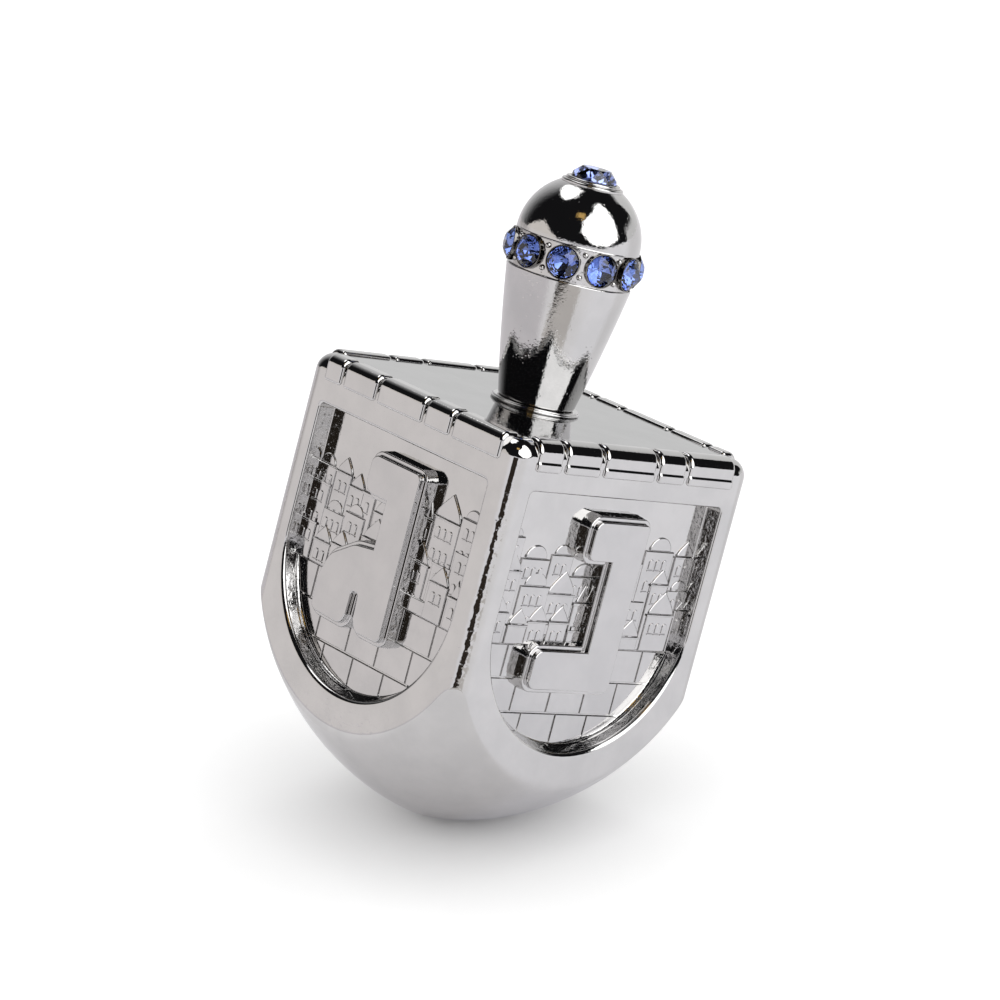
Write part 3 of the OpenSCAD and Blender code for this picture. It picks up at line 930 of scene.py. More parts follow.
class Letter(Enum):
    """The four traditional letters, by the number of the face that carries each."""

    GIMEL = 0
    NUN = 1
    SHIN = 2
    HE = 3

    def strokes(self, pen: float = 3.7, low: float = 17.5, high: float = 33.5
                ) -> list[list[tuple[float, float, float]]]:
        """Args: pen: Width. low, high: Ends. Returns: corners (x, height, radius) of each."""
        if self is Letter.NUN:
            return [[(-6.4, low, 0.9), (pen, low, 0.5), (pen, high, 0.5), (-2.96, high, 0.9),
                     (-2.96, high - pen, 0.7), (0, high - pen, 0), (0, low + pen, 0),
                     (-6.4, low + pen, 1.0)]]
        if self is Letter.GIMEL:
            return [[(-6.45, 17.65, 0.8), (-2.0, low, 1.0), (-1.55, 18.6, 0.0),
                     (-1.5, 20.9, 0.35), (-0.55, 20.9, 0.35), (-0.45, 18.6, 0.0), (0.1, low, 1.0),
                     (pen, low, 0.7), (pen, high, 0.6), (-3.2, high, 0.9), (-3.2, 29.9, 1.2),
                     (0, 29.9, 0.0), (0, 25.35, 0.0), (-2.6, 25.0, 2.0), (-5.6, 23.2, 1.9),
                     (-6.5, 20.9, 1.6)]]
        if self is Letter.HE:
            return [[(2.59, low, 0.5), (6.29, low, 0.7), (6.29, high, 1.0), (-6.29, high, 0.9),
                     (-6.29, high - pen, 0.6), (2.59, high - pen, 0)],
                    [(-6.29, low, 0.7), (-2.59, low, 0.5), (-2.59, 27.1, 0.8),
                     (-6.29, 27.1, 0.5)]]
        arm, side = 0.85 * pen, 1.8 * pen
        return [[(-side, low, 1.0), (side, low, 1.0), (side, high, 0.7), (side - arm, high, 0.7),
                 (side - arm, low + arm, 0), (arm / 2, low + arm, 0), (arm / 2, high, 0.7),
                 (-arm / 2, high, 0.7), (-arm / 2, low + arm, 0), (arm - side, low + arm, 0),
                 (arm - side, high, 0.7), (-side, high, 0.7)]]


@dataclass
class Letters:
    """Raised letters, each on a narrow step."""

    lip: float = 0.42
    step: float = 0.5
    edge: float = 0.14
    flare: float = 0.12
    bury: float = 0.15
    lean: float = 0.03
    hollow: float = 0.06

    def build(self, palette: Palette) -> None:
        """Args: palette: The finishes."""
        for letter in Letter:
            builder = MeshBuilder(Face(letter.value))
            for corners in letter.strokes():
                self.stroke(builder, Outline.of(corners))
            builder.finish(f"letter_{letter.name.lower()}", "body", "body_shell",
                           palette.letters, palette.walls)

    def stroke(self, builder: MeshBuilder, outline: Outline) -> None:
        """A closed solid: foot, wall, step and the letter's own rounded edge.

        Args:
            builder: Where the surfaces go.
            outline: Edge of the letter's top.
        """
        lip, edge, small = self.lip, self.edge, self.hollow
        foot, shelf = HALF - FIELD_DEPTH - self.bury, HALF - self.step
        bend = self.lean + small
        builder.sweep(outline, [line((lip + self.flare, foot), (lip, shelf - edge))], slot=1)
        builder.sweep(outline, [arc((lip - edge, shelf - edge), edge, 0, 90, 5),
                                line((lip - edge, shelf), (bend, shelf)),
                                arc((bend, shelf + small), small, -90, -180, 4, hollow=True),
                                line((self.lean, shelf + small), (0.0, HALF - edge)),
                                arc((-edge, HALF - edge), edge, 0, 90, 6)])
        builder.cover(HALF, outline.moved(-edge))
        builder.cover(foot, outline.moved(lip + self.flare), sign=-1.0)


class House(Enum):
    """Houses of the relief, by the band under the roof and the shape of the roof.

    The band is how far it stands out sideways, below, above and forward. The roof is the share
    of the width and the length that it is set in, its foot above the eaves, its height and the
    height of its point as shares of the width, and how far it stands back.
    """

    FLAT = (None, None)
    DOME = (None, (0.12, 0.0, 0.0, 0.36, 0.0, 0.05))
    TOWER = ((0.12, 0.25, 0.05, 0.06), (0.1, 0.0, 0.05, 0.3, 0.75, 0.03))
    ARCH = ((0.08, 0.2, 0.02, 0.05), (0.0, 0.06, 0.02, 0.34, 0.32, 0.02))
    BATTLEMENT = ((0.1, 0.2, 0.05, 0.05), None)


@dataclass
class TownRelief:
    """A low relief of stacked stone houses over three courses of wall, behind each letter."""

    ground: float = 21.2
    course: float = 3.2
    shifts: tuple[float, ...] = (0.15, 0.62, 0.3, 0.8)
    stone: float = 4.3
    joint: float = 0.13
    reach: float = 12.25
    spring: float = 23.5
    tiers: tuple[float, ...] = (31.0, 28.0, 24.8)
    floor: float = HALF - FIELD_DEPTH
    foot: float = HALF - FIELD_DEPTH - 0.05
    jitter: float = 0.25
    block_rise: float = 0.14
    row_rise: float = 0.02
    block_edge: float = 0.06
    widths: tuple[float, float] = (2.1, 3.7)
    tower_widths: tuple[float, float] = (1.3, 1.9)
    spacing: tuple[float, float] = (0.94, 1.16)
    dip: float = 2.6
    swing: tuple[float, float] = (-1.1, 0.9)
    house_rise: float = 0.16
    tier_rise: float = 0.15
    edge: float = 0.13
    band_edge: float = 0.05
    teeth: tuple[float, ...] = (0.1, 0.42, 0.74)
    tooth: tuple[float, float] = (0.17, 0.4)
    window: float = 0.56
    window_step: float = 0.84
    sills: tuple[float, ...] = (1.75, 3.8)

    def stone_outline(self, x0: float, x1: float, low: float, top: float) -> Outline:
        """A stone that ends just under the frame where the field's round foot cuts it.

        Its lower edge is the higher of the joint and spring - sqrt(reach^2 - x^2).

        Args:
            x0: Left end.
            x1: Right end.
            low: Lower joint.
            top: Upper joint.

        Returns:
            The stone's outline.
        """
        x = np.linspace(x0, x1, max(3, int((x1 - x0) / 0.35)))
        rim = self.spring - np.sqrt(np.maximum(self.reach**2 - x**2, 0.0))
        foot = np.stack([x, np.minimum(np.maximum(low, rim), top - 0.1)], 1)
        return Outline.free(np.concatenate([foot, [[x1, top], [x0, top]]]))

    def wall(self, builder: MeshBuilder, draw: np.random.Generator) -> None:
        """Args: builder: Gets courses of stones. draw: Source of the small differences."""
        top, gap = self.ground, self.joint / 2
        for row, shift in enumerate(self.shifts):
            low = top - self.course
            # Half the width of the field's round foot at this course
            inside = math.sqrt(max(self.reach**2 - (top - 0.5 - self.spring) ** 2, 0.0))
            edges = np.arange(-self.reach - shift * self.stone, self.reach, self.stone)
            edges = edges + draw.uniform(-self.jitter, self.jitter, len(edges))
            edges = np.clip(edges, -inside, inside)
            edges = np.unique(np.append(edges, inside))
            for x0, x1 in zip(edges[:-1], edges[1:]):
                if x1 - x0 > 0.5:
                    block = self.stone_outline(x0 + gap, x1 - gap, low + gap, top - gap)
                    rise = self.block_rise + draw.uniform(0, 0.03) + self.row_rise * row
                    builder.raise_shape(block, self.foot, self.floor + rise, self.block_edge)
            top = low

    def opening(self, builder: MeshBuilder, x: float, z: float, depth: float) -> None:
        """An arched window as a raised, closed frame.

        Args:
            builder: Where the surfaces go.
            x: Middle.
            z: Sill.
            depth: Distance of its foot from the axis.
        """
        size = self.window
        shape = Outline.dome(x - size / 2, z, x + size / 2, size * 0.55, foot=size * 1.15)
        builder.raise_shape(shape, depth - 0.02, depth + 0.09, 0.045, 0.01)
        sill = Outline.box(x - size * 0.62, z - 0.2, x + size * 0.62, z - 0.06)
        builder.raise_shape(sill, depth - 0.02, depth + 0.08, 0.03, 0.01)

    def house(self, builder: MeshBuilder, kind: House, x0: float, x1: float, top: float,
              depth: float) -> None:
        """One house from the ground line up to its roof.

        Args:
            builder: Where the surfaces go.
            kind: Roof shape.
            x0: Left end.
            x1: Right end.
            top: Height of the eaves.
            depth: Distance of its front from the axis.
        """
        wide, mid, low = x1 - x0, (x0 + x1) / 2, self.ground + 0.05
        band, roof = kind.value
        builder.raise_shape(Outline.box(x0, low, x1, top), self.foot, depth, self.edge)
        if band:
            aside, below, above, proud = band
            shape = Outline.box(x0 - aside, top - below, x1 + aside, top + above)
            builder.raise_shape(shape, self.foot, depth + proud, self.band_edge)
        if roof:
            share, inset, lift, height, point, back = roof
            inset += share * wide
            shape = Outline.dome(x0 + inset, top + lift, x1 - inset, height * wide,
                                 point=point * wide)
            builder.raise_shape(shape, self.foot, depth - back, self.edge)
        if kind is House.BATTLEMENT:
            across, high = self.tooth
            for share in self.teeth:
                tooth = Outline.box(x0 + share * wide, top, x0 + (share + across) * wide,
                                    top + high)
                builder.raise_shape(tooth, self.foot, depth, self.band_edge)
        count = max(1, int((wide - 0.3) / 0.85))
        centres = mid + (np.arange(count) - (count - 1) / 2) * self.window_step
        for drop in self.sills:
            if top - drop > low + 0.3:
                for x in centres:
                    self.opening(builder, float(x), top - drop, depth)

    def build(self, palette: Palette) -> None:
        """Args: palette: The finishes."""
        kinds = [House.DOME, House.ARCH, *House, House.DOME, House.ARCH]
        for number in range(4):
            draw = np.random.default_rng(40 + number)
            builder = MeshBuilder(Face(number))
            self.wall(builder, draw)
            for tier, height in enumerate(self.tiers):
                x = -self.reach
                while x < self.reach:
                    wide = draw.uniform(*self.widths)
                    kind = kinds[int(draw.integers(0, len(kinds)))]
                    if kind is House.TOWER:
                        wide = draw.uniform(*self.tower_widths)
                    away = abs(x + wide / 2) / self.reach
                    top = height - self.dip * (1 - away) + draw.uniform(*self.swing)
                    right = min(x + wide, self.reach)
                    if right - x > 0.7 and top > self.ground + 1:
                        depth = self.floor + self.house_rise + self.tier_rise * tier
                        depth += draw.uniform(0, 0.05)
                        self.house(builder, kind, x, right, top, depth)
                    x += wide * draw.uniform(*self.spacing)
            builder.finish(f"town_relief_{number + 1}", "body", "body_shell", palette.town)


@dataclass
class BeadRim:
    """Four rows of pillow-shaped blocks that roll over the top edge."""

    proud: float = 0.3
    crest: float = 40.4
    inner: float = 13.19
    end: float = 0.42
    groove: float = 0.36
    grooves: tuple[tuple[float, ...], ...] = (
        (-12.4, -9.6, -4.6, 2.2, 6.1, 13.1), (-12.6, -9.1, -4.35, 2.5, 6.3, 12.6),
        (-12.4, -9.7, -4.5, 2.3, 6.2, 12.7), (-12.5, -9.4, -4.6, 2.2, 6.3, 12.8))
    feet: tuple[float, ...] = (37.85, 37.55, 37.7, 37.6)
    rolls: tuple[float, ...] = (0.92, 1.28, 1.1, 1.1)
    steps: tuple[float, ...] = (0.0, 0.13, 0.04, 0.08)

    def block(self, builder: MeshBuilder, x0: float, x1: float) -> None:
        """One block: a rounded section that shrinks towards both ends.

        At the angle b of an end's rounding the section stands end * (1 - cos b) from the end and
        is shrunk by end * (1 - sin b); the normal turns from sideways to the section's own.

        Args:
            builder: Where the surfaces go.
            x0: Left end.
            x1: Right end.
        """
        out, k = HALF + self.proud, builder.face.number
        foot, step = self.feet[k], self.steps[k]
        lip = [(out, foot, 0.3), (out, foot + 0.75, 0.12), (out - step, foot + 0.95, 0.12)]
        section = Outline.of([(self.inner, foot, 0.35), *(lip if step else lip[:1]),
                              (out - step, self.crest, self.rolls[k]),
                              (self.inner, self.crest, 0.36)], 6.0)
        b = np.radians(np.linspace(0, 90, 8))
        inset = self.end * (1 - np.cos(b))
        x = np.concatenate([x0 + inset, x1 - inset[::-1]])
        shrink = self.end * (1 - np.sin(np.concatenate([b, b[::-1]])))[:, None, None]
        lean = np.concatenate([-np.cos(b), np.cos(b[::-1])])[:, None, None]
        shape = section.points[None] - shrink * section.normals[None]
        along, up, away = builder.face.axes()
        place = x[:, None, None] * along + shape[..., :1] * away + shape[..., 1:] * up
        own = section.normals[:, :1] * away + section.normals[:, 1:] * up
        builder.grid(place, own[None] * np.sqrt(1 - lean**2) + lean * along)
        builder.fill([place[0]], -along)
        builder.fill([place[-1]], along)

    def build(self, palette: Palette) -> None:
        """Args: palette: The finishes."""
        gap = self.groove / 2
        for number, places in enumerate(self.grooves):
            builder = MeshBuilder(Face(number))
            for x0, x1 in zip(places[:-1], places[1:]):
                self.block(builder, x0 + gap, x1 - gap)
            builder.finish(f"bead_row_{number + 1}", "body", "body_shell", palette.body)


@dataclass
class TopPlate:
    """The polished plate let into the pocket, with a hole for the screw."""

    half: float = 13.08
    corner: float = 0.9
    edge: float = 0.1
    hole: float = 1.6

    def build(self, palette: Palette) -> None:
        """Args: palette: The finishes."""
        builder = MeshBuilder()
        h, r, e = self.half, self.corner, self.edge
        rim = Outline.of([(-h, -h, r), (h, -h, r), (h, h, r), (-h, h, r)], 6.0)
        circle = self.hole * rays(np.linspace(0, 2 * math.pi, 48, endpoint=False))
        builder.sweep(rim, [line((0.0, POCKET), (0.0, RIM - e)), arc((-e, RIM - e), e, 0, 90, 5)])
        builder.cover(RIM, rim.moved(-e), circle)
        builder.cover(POCKET, rim.points, circle, sign=-1.0)
        builder.lathe([line((self.hole, RIM), (self.hole, POCKET))], 48)
        builder.finish("lid_plate", "plate", "top_plate", palette.plate)


# The handle


@dataclass
class CollarRing:
    """The thin ring under the stem: a round bead on the plate and a finer one above it."""

    reach: float = 4.2
    top: float = 40.55
    bore: float = 2.6
    bead: float = 0.14
    fine: float = 0.1
    inset: float = 0.26

    def build(self, palette: Palette) -> None:
        """Args: palette: The finishes."""
        builder = MeshBuilder()
        low, high = self.reach - self.bead, self.reach - self.inset
        profile = [line((self.bore, RIM), (low, RIM)),
                   arc((low, RIM + self.bead), self.bead, -90, 75, 10),
                   arc((high, self.top - self.fine), self.fine, -20, 90, 8),
                   line((high, self.top), (self.bore, self.top)),
                   line((self.bore, self.top), (self.bore, RIM))]
        builder.lathe(Handle.closed(profile), 160)
        builder.finish("collar_ring_turned", "ring", "collar_ring", palette.ring)


@dataclass
class Handle:
    """Stem, belt with ten settings, round cap and the cup of the crown stone."""

    foot: float = 40.25
    spigot: float = 2.4
    stem_base: float = 40.55
    stem_height: float = 12.15
    foot_radius: float = 3.6
    foot_round: float = 0.2
    top_radius: float = 5.9
    top_round: float = 0.14
    bulge: float = 0.1
    belt_radius: float = 5.65
    belt_inside: float = 4.6
    belt_height: float = 3.4
    cap_radius: float = 5.8
    cap_edge: float = 0.08
    seat_radius: float = 2.9
    # Radius and rise of the cup's lip, then radius, inset and rise of the bead inside it
    lip: tuple[float, float] = (0.19, 0.12)
    bead: tuple[float, float, float] = (0.18, 0.53, 0.4)
    cup_half: float = 0.5
    cup_depth: float = 0.8
    stones: int = 10
    stone_turn: float = 20.0
    stone_radius: float = 1.44
    stone_reach: float = 6.0
    hole: float = 1.5
    setting: tuple[float, float] = (1.49, 1.6)
    setting_depth: tuple[float, float] = (-0.75, 0.02)
    grain: float = 0.28
    grains: tuple[tuple[float, float], ...] = ((1.08, 0.03), (-1.02, -0.04))

    @property
    def belt_middle(self) -> float:
        """Returns: height of the middle of the belt."""
        return self.stem_base + self.stem_height + self.belt_height / 2

    def profile(self) -> list[Stretch]:
        """Returns: the turned outline from the spigot to the cup, as stretches with normals."""
        belt = self.stem_base + self.stem_height
        cap = belt + self.belt_height
        rise, spread = self.stem_height, self.top_radius - self.foot_radius
        chord = math.hypot(rise, spread)
        curve = (chord**2 / 4 + self.bulge**2) / (2 * self.bulge)
        cx = (self.foot_radius + self.top_radius) / 2 - (curve - self.bulge) * rise / chord
        cz = self.stem_base + rise / 2 + (curve - self.bulge) * spread / chord
        low = math.degrees(math.atan2(self.stem_base + 0.25 - cz, self.foot_radius - cx))
        high = math.degrees(math.atan2(belt - self.top_round - cz, self.top_radius - cx))
        stem = arc((cx, cz), curve, low, high, 25)
        (x0, z0), (x1, z1) = stem[0][0], stem[0][-1]
        g, c, s, p = self.belt_inside, self.cap_radius, self.seat_radius, self.spigot
        fr, tr, ce = self.foot_round, self.top_round, self.cap_edge
        (lip, lift), (bead, inset, above) = self.lip, self.bead
        seat = cap + math.sqrt(c**2 - s**2)
        deg = math.degrees(math.asin((seat - cap) / c))
        return [
            line((0.0, self.foot), (p, self.foot)),
            line((p, self.foot), (p, self.stem_base)),
            line((p, self.stem_base), (x0 - fr, self.stem_base)),
            arc((x0 - fr, z0), fr, -90, 0, 6),
            stem,
            arc((x1 - tr, z1), tr, 0, 90, 6),
            line((x1 - tr, belt), (g, belt)),
            line((g, belt), (g, cap - 2 * ce)),
            line((g, cap - 2 * ce), (c - 0.06, cap - 2 * ce)),
            arc((c - 0.06, cap - ce), ce, -90, 0, 5),
            line((c + 0.02, cap - ce), (c, cap)),
            arc((0.0, cap), c, 0, deg - 0.6, 40),
            arc((s - lip, seat + lift), lip, -25, 105, 10),
            arc((s - inset, seat + above), bead, -20, 160, 12),
            line((s - 0.72, seat + above), (self.cup_half, seat - self.cup_depth)),
            line((self.cup_half, seat - self.cup_depth), (0.0, seat - self.cup_depth)),
        ]

    @staticmethod
    def closed(profile: list[Stretch]) -> list[Stretch]:
        """Args: profile: Stretches. Returns: them, each start moved onto the end before it."""
        for (before, _), (after, _) in zip(profile[:-1], profile[1:]):
            after[0] = before[-1]
        return profile

    def stone_frame(self, number: int) -> Frame:
        """Args: number: From 0. Returns: foot on the axis, two directions across, one out."""
        out, side = compass(self.stone_turn + 360 / self.stones * number)
        return self.belt_middle * UP, side, UP, out

    def belt(self, builder: MeshBuilder) -> None:
        """The band between the edge lines, with a round hole for each stone.

        Around a hole the band runs from a circle to a rectangle. A point at the share s is
        circle + s * (rectangle - circle), taken in the angle about the axis and in height.

        Args:
            builder: Where the surface goes.
        """
        c, s = rays(np.radians(np.arange(0, 360, 7.5))).T
        square = np.stack([c, s]) / np.maximum(np.abs(c), np.abs(s))
        share = np.linspace(0, 1, 4)[:, None]
        below, above = self.belt_height / 2, self.belt_height / 2 - 2 * self.cap_edge
        reach = np.where(square[1] > 0, above, below) * square[1]
        step = math.pi / self.stones
        for number in range(self.stones):
            foot, side, up, out = self.stone_frame(number)
            first = math.atan2(out[1], out[0])
            skins = []
            for radius, hole, sign in ((self.belt_radius, self.hole, 1.0),
                                       (self.belt_inside, self.hole - 0.45, -1.0)):
                angle, level = np.arcsin(hole * c / radius), hole * s
                a = first + angle + share * (step * square[0] - angle)
                ray = builder.face.place(rays(a), 0.0)
                skin = radius * ray
                skin[..., 2] = foot[2] + level + share * (reach - level)
                builder.grid(skin, sign * ray)
                skins.append(skin)
            builder.grid(np.stack([skin[0] for skin in skins]),
                         -(c[:, None] * side + s[:, None] * up))
            for start, sign in ((6, 1.0), (30, -1.0)):
                edge = np.stack([skin[-1][start:start + 13] for skin in skins])
                builder.grid(edge, sign * UP, wrap=False)

    def settings(self, builder: MeshBuilder) -> None:
        """Args: builder: Gets a tube around each stone, and grains between the stones."""
        hole, wall = self.setting
        near, far = (self.stone_reach + v for v in self.setting_depth)
        half = (wall - hole) / 2
        cup = [line((hole, near), (wall, near)), line((wall, near), (wall, far - half)),
               arc((wall - half, far - half), half, 0, 180, 7),
               line((hole, far - half), (hole, near))]
        # Slot 1 gives the tubes the near-black painted shade of the gap round each stone.
        for number in range(self.stones):
            builder.lathe(cup, 40, slot=1, frame=self.stone_frame(number))
        ball = [arc((0.0, 0.0), self.grain, -90, 90, 9)]
        for number in range(self.stones):
            middle, side, up, out = self.stone_frame(number + 0.5)
            for level, swing in self.grains:
                foot = (self.belt_radius + 0.05) * out + swing * side + middle + level * up
                builder.lathe(ball, 14, frame=(foot, side, up, out))

    def build(self, palette: Palette) -> None:
        """Args: palette: The finishes."""
        turned, band, seats = MeshBuilder(), MeshBuilder(), MeshBuilder()
        turned.lathe(self.closed(self.profile()), 256)
        self.belt(band)
        self.settings(seats)
        turned.finish("handle_turned", "handle", "handle", palette.handle)
        band.finish("stone_belt", "handle", "handle", palette.walls)
        seats.finish("stone_settings", "handle", "handle", palette.handle, palette.recess)


@dataclass
class CutStone:
    """A round stone with a table, eight kites, stars and girdle facets over a pointed foot."""

    name: str
    node: str
    slot: str
    frame: Frame
    radius: float
    crown: float
    depth: float
    girdle: float = 0.12
    table_share: float = 0.5
    mid_share: float = 0.78
    pale: bool = False

    def build(self, palette: Palette) -> None:
        """Facets join rings of 8 table points, 8 middle points and 16 girdle points.

        A kite lies in the plane through its table point and its girdle point, so a middle point
        at the angle 22.5 degrees from both has the height crown * (R - m cos 22.5) / (R - t).
        The foot repeats the girdle, with mains from the point and pairs of facets beside them.

        Args:
            palette: The finishes.
        """
        R, t, m = self.radius, self.table_share * self.radius, self.mid_share * self.radius
        g, p, tilt = self.girdle / 2, 0.5 * self.radius, math.cos(math.radians(22.5))

        def ring(r: float, h: float, first: float, count: int = 8) -> Array:
            """Args: r, h: Radius, height. first: First angle. count: Points. Returns: points."""
            flat = r * rays(np.radians(first + 360 / count * np.arange(count)))
            return np.column_stack([flat, np.full(count, h)])

        def facets(*corners: Array) -> Array:
            """Args: corners: Each (8, 3). Returns: facets, triangles with the first repeated."""
            return np.stack([*corners, corners[0]][:4], 1)

        table = ring(t, g + self.crown, 0)
        middle = ring(m, g + self.crown * (R - m * tilt) / (R - t), 22.5)
        under = ring(p, -g - self.depth * (1 - p * tilt / R), 22.5)
        culet = np.tile([0.0, 0.0, -g - self.depth], (8, 1))
        upper, lower = ring(R, g, 0, 16), ring(R, -g, 0, 16)
        top = facets(np.tile(table[0], (6, 1)), table[1:7], table[2:8])
        band = facets(upper, np.roll(upper, -1, 0), np.roll(lower, -1, 0), lower)
        groups = []
        for peak, belt, edge in ((table, middle, upper), (culet, under, lower)):
            even, odd = edge[::2], edge[1::2]
            groups.append([facets(peak, np.roll(belt, 1, 0), even, belt),
                           facets(belt, even, odd), facets(belt, odd, np.roll(even, -1, 0))])
        groups[0][1:1] = [facets(table, middle, np.roll(table, -1, 0))]
        groups[0] += [top, band]
        foot, *basis = self.frame
        out = basis[2]
        builder = MeshBuilder()
        for slot, group in enumerate(groups):
            for part in group:
                builder.flat_faces(foot + part @ np.stack(basis), foot + (g - 0.1 * slot) * out,
                                   slot)
        glass = palette.pale_glass if self.pale else palette.glass
        builder.finish(self.name, self.slot, self.node, glass, palette.foil)


@dataclass
class Stones:
    """The crown stone and the ten belt stones."""

    handle: Handle
    belt_turn: float = 17.0
    crown_turn: float = 17.7
    crown_lift: float = 0.53
    crown_peak: float = 62.795
    crown_girdle: float = 0.2

    def build(self, palette: Palette) -> None:
        """Args: palette: The finishes."""
        h = self.handle
        for number in range(h.stones):
            foot, side, up, out = h.stone_frame(number)
            (c, s, _), _ = compass(self.belt_turn * number)
            frame = foot + h.stone_reach * out, c * side + s * up, c * up - s * side, out
            CutStone(f"belt_stone_{number + 1}", f"belt_crystal_{number + 1}", "belt_stone",
                     frame, h.stone_radius, crown=0.52, depth=0.95).build(palette)
        dome = math.sqrt(h.cap_radius**2 - h.seat_radius**2)
        level = h.stem_base + h.stem_height + h.belt_height + dome + self.crown_lift
        CutStone("crown_stone_cut", "crown_crystal", "crown_stone",
                 (level * UP, *compass(self.crown_turn), UP), radius=2.13,
                 crown=self.crown_peak - level - self.crown_girdle / 2, depth=1.15,
                 girdle=self.crown_girdle, table_share=0.66, mid_share=0.965, pale=True
                 ).build(palette)


@dataclass
class FixingScrew:
    """The screw and washer inside the body, which keep their source shapes."""

    nodes: tuple[str, ...] = ("handle_screw", "screw_washer")

    def build(self, palette: Palette) -> None:
        """Args: palette: The finishes."""
        for name in self.nodes:
            piece = bpy.data.objects.get(name)
            if piece is None:
                LOG.warning("%s isn't in the frame", name)
                continue
            for slot in piece.material_slots:
                slot.material = palette.steel
            LOG.info("%s: dressed", name)


# The studio


@dataclass
class Studio:
    """Camera, pale floor and the soft panels and dark flags around the object.

    The object leans as in the photograph, so the floor leans the other way in the object's frame.
    A limit in the painting is an angle in degrees or a distance in metres, and its softness.
    """

    lens: float = 151.43
    spot: tuple[float, float, float] = (275.4226, -266.1118, 101.0978)
    right: tuple[float, float, float] = (0.637343, 0.728869, 0.250086)
    down: tuple[float, float, float] = (0.302153, 0.062170, -0.951230)
    ahead: tuple[float, float, float] = (-0.708870, 0.681824, -0.180606)
    floor_up: tuple[float, float, float] = (-0.04148, -0.29162, 0.95563)
    floor_spot: tuple[float, float, float] = (0.47, 3.30, 0.62)
    floor_radii: tuple[float, ...] = (0.0, 20.0, 60.0, 150.0, 350.0, 700.0)
    white: Colour = (1.0, 1.0, 1.0)
    wall: Colour = (0.80, 0.80, 0.80)
    shadow_gap_colour: Colour = (0.035, 0.028, 0.022)

    def camera(self) -> None:
        """Makes the camera at the photograph's angle."""
        data = bpy.data.cameras.new("camera")
        data.sensor_width, data.lens = 36.0, self.lens
        data.clip_start, data.clip_end = 0.01, 20.0
        camera = bpy.data.objects.new("camera", data)
        columns = (self.right, tuple(-v for v in self.down), tuple(-v for v in self.ahead))
        turn = Matrix(columns).transposed().to_4x4()
        camera.matrix_world = Matrix.Translation(Vector(self.spot) * MM) @ turn
        bpy.context.scene.collection.objects.link(camera)
        bpy.context.scene.camera = camera

    def floor(self) -> None:
        """Makes the floor disc, which only its upper side shows."""
        up = np.array(self.floor_up)
        up /= np.linalg.norm(up)
        side = np.cross(up, [1.0, 0.0, 0.0])
        side /= np.linalg.norm(side)
        radii = np.array(self.floor_radii)
        builder = MeshBuilder()
        builder.lathe([(np.stack([radii, 0 * radii], 1), np.tile([0.0, 1.0], (len(radii), 1)))],
                      64, frame=(np.array(self.floor_spot), side, np.cross(up, side), up))
        material = bpy.data.materials.new("studio_floor")
        tree = Tree(material)
        path = tree.add("LightPath").outputs
        xyz = tree.parts(tree.spot())
        az, both, band = tree.azimuth(xyz), tree.both, tree.band
        away = tree.math("SQRT", tree.plus(*(tree.times(v, v) for v in xyz[:2])))
        # A brownish strip in front, and the dark gap behind it as a painted shadow, which only the
        # metal shows
        strip = both(band(az, (22, 0.5), (74, 4)), band(away, (0.085, 0.003), (0.2, 0.02)))
        gap = both(band(az, (29, 1.5), (54, 1.5)), band(away, (0.2, 0.02)))
        dim = both(band(az, (-140, 10), (14, 8)), band(away, (0.09, 0.015)))
        # Seen only in the metal, the floor is painted lighter past about 80 degrees, darker on the
        # left as painted shade, greyer at the back, and near black in the gap as painted shadow;
        # the camera sees it white.
        tint = tree.paint((0.90, 0.888, 0.905),
                          (band(az, (95, 15)), (0.97, 0.965, 1.0)),
                          (dim, (0.70, 0.675, 0.70)),
                          (band(tree.math("ABSOLUTE", az), (152, 10)), (0.83, 0.82, 0.84)),
                          (strip, (0.62, 0.59, 0.57)),
                          (gap, self.shadow_gap_colour),
                          (path["Is Camera Ray"], (0.99, 0.99, 0.99)))
        card = tree.add("BsdfDiffuse", {"Color": tint})
        # Its glow for the camera is weaker close to the object, a painted shadow round the contact
        shadowed_glow = tree.plus(0.02, tree.times(0.13, tree.ramp(away, 0.008, 0.035)))
        glow = tree.add("Emission", {"Color": self.white,
                                     "Strength": tree.times(shadowed_glow, path["Is Camera Ray"])})
        sum_ = tree.add("AddShader", {0: card.outputs[0], 1: glow.outputs[0]})
        clear = tree.add("BsdfTransparent")
        back = tree.add("NewGeometry").outputs["Backfacing"]
        seen = tree.add("MixShader", {0: back, 1: sum_.outputs[0], 2: clear.outputs[0]})
        tree.add("OutputMaterial", {"Surface": seen.outputs[0]})
        builder.build("studio_floor", material)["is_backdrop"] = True

    def world(self) -> None:
        """Paints the surroundings by direction.

        Camera rays see white, diffuse rays an even white, and mirror rays the soft panels, dark
        flags and pale walls, each a smooth step in the azimuth and elevation of the ray.
        """
        world = bpy.data.worlds.new("studio")
        bpy.context.scene.world = world
        tree = Tree(world)
        xyz = tree.parts(tree.spot("Generated"))
        az, both, band = tree.azimuth(xyz), tree.both, tree.band
        el = tree.times(tree.math("ARCSINE", xyz[2]), 180 / math.pi)
        around = tree.math("ABSOLUTE", az)
        left = both(tree.ramp(az, -62, -120), band(az, high=(-60, 4)), band(el, high=(46, 7)))
        back = both(tree.math("MAXIMUM", band(az, (147, 2.5)), band(az, high=(-122, 8))),
                    band(tree.plus(el, tree.times(around, -0.02)), high=(22, 5)))
        behind = both(band(az, high=(-140, 5)), band(el, high=(46, 5)))
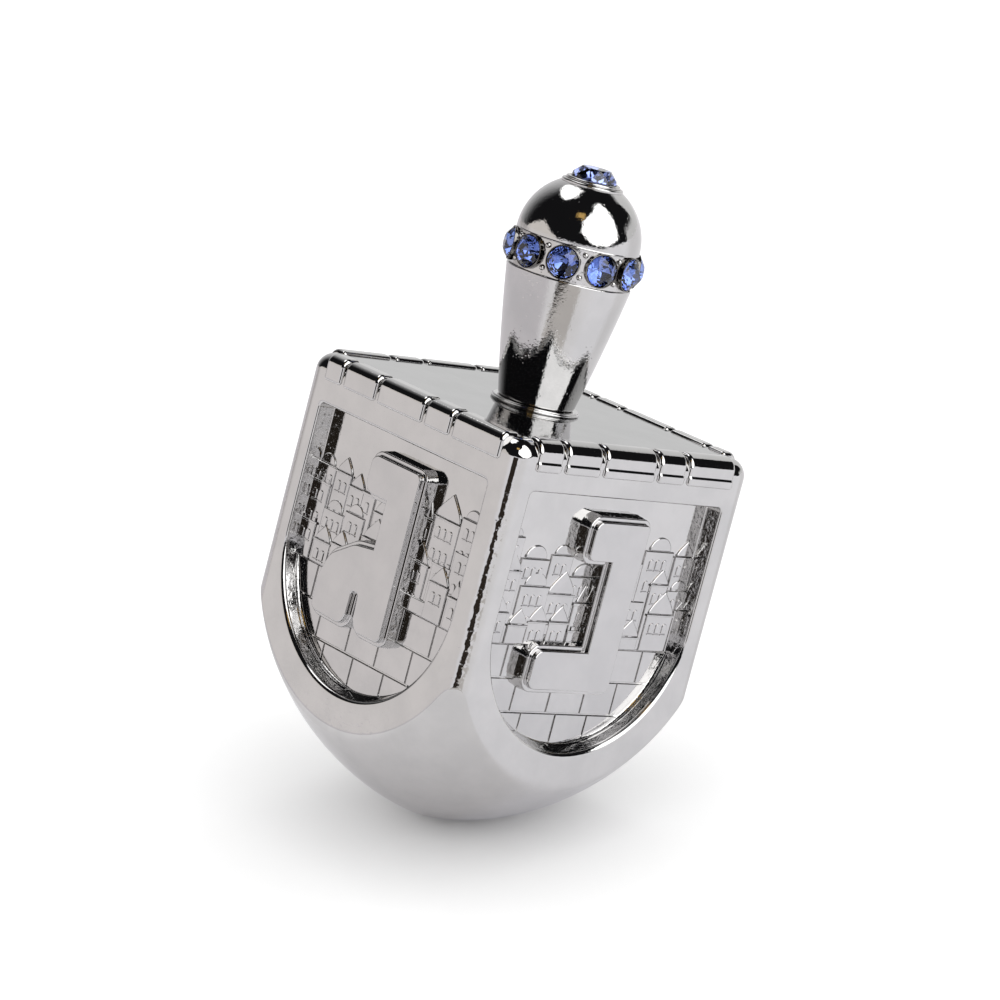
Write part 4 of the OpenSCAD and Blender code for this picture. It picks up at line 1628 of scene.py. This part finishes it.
        # The sweep ends in a low peak, at this fall from its middle
        peak = tree.times(tree.math("ABSOLUTE", tree.plus(az, 30.0)), 0.5)
        sweep = both(band(tree.plus(el, peak), high=(16, 1.2)), band(az, (-75, 2), (12, 2)))
        warm = tree.paint((0.90, 0.862, 0.858), (band(az, (15, 12)), (1.0, 0.99, 1.03)),
                          (tree.ramp(az, -49, -72), (0.58, 0.55, 0.55)))
        # The gap on the table, a near-black painted shadow that only mirror rays see
        gap = both(band(az, (29, 1.5), (54, 1.5)), band(el, high=(-6, 1.5)))
        # The large panel's near side leans away below and above, and its far side below
        near = tree.minus(tree.minus(az, tree.excess(20.0, el, 1.5)), tree.excess(el, 42.0, 1.1))
        far = tree.plus(az, tree.excess(15.0, el, 2.0))
        panel = both(band(near, (48, 1.5)), band(far, high=(123, 1.5)), band(el, (3, 1.5), (74, 3)))
        foot = tree.times(tree.plus(az, 75.0), 0.22)
        patch = both(band(tree.minus(el, foot), (49, 2)), band(el, high=(74, 3)),
                     band(az, (-102, 4), (-36, 4)))
        spark = both(band(el, (44, 1), (55, 1)), band(az, (28, 2), (48, 2)))
        path = tree.add("LightPath").outputs
        sky = tree.paint((0.010, 0.010, 0.011),
                         (left, (0.72, 0.72, 0.73)),  # dim wall, darker towards the front
                         (back, self.wall),
                         (behind, self.wall),
                         (sweep, (0.86, 0.815, 0.78)),  # paper sweep in front
                         (band(el, high=(-2.5, 1.5)), warm),  # table, dimmer on the left
                         (gap, self.shadow_gap_colour),
                         (panel, (2.6, 2.6, 2.6)),  # large soft panel to the right
                         (patch, (2.4, 2.4, 2.4)),  # second panel, high on the left
                         (spark, (0.75, 0.48, 0.16)),  # small warm thing above the front
                         (path["Is Diffuse Ray"], self.white),
                         (path["Is Camera Ray"], self.white))
        light = tree.add("Background", {"Color": sky, "Strength": 1.0})
        tree.add("OutputWorld", {"Surface": light.outputs[0]})

    def build(self) -> None:
        """Makes the camera, the floor and the surroundings."""
        bpy.context.scene.view_settings.view_transform = "Standard"
        self.camera()
        self.floor()
        self.world()


def corners(bounds: tuple[Vector, Vector]) -> list[list[float]]:
    """Args: bounds: Lowest and highest corner. Returns: them as plain lists."""
    return [[round(float(v), 7) for v in corner] for corner in bounds]


def main() -> None:
    """Builds the studio and every piece in order, and notes the box before and after."""
    logging.basicConfig(level=logging.INFO, format="%(name)s: %(message)s", force=True)
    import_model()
    source = corners(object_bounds())
    Studio().build()
    palette = Palette()
    handle = Handle()
    for part in (BodyShell(), Letters(), TownRelief(), BeadRim(), TopPlate(), CollarRing(),
                 handle, Stones(handle), FixingScrew()):
        part.build(palette)
    bpy.context.view_layer.update()
    dressed = corners(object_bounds())
    LOG.info("box of the source %s, dressed %s", source, dressed)


if __name__ == "__main__":
    main()
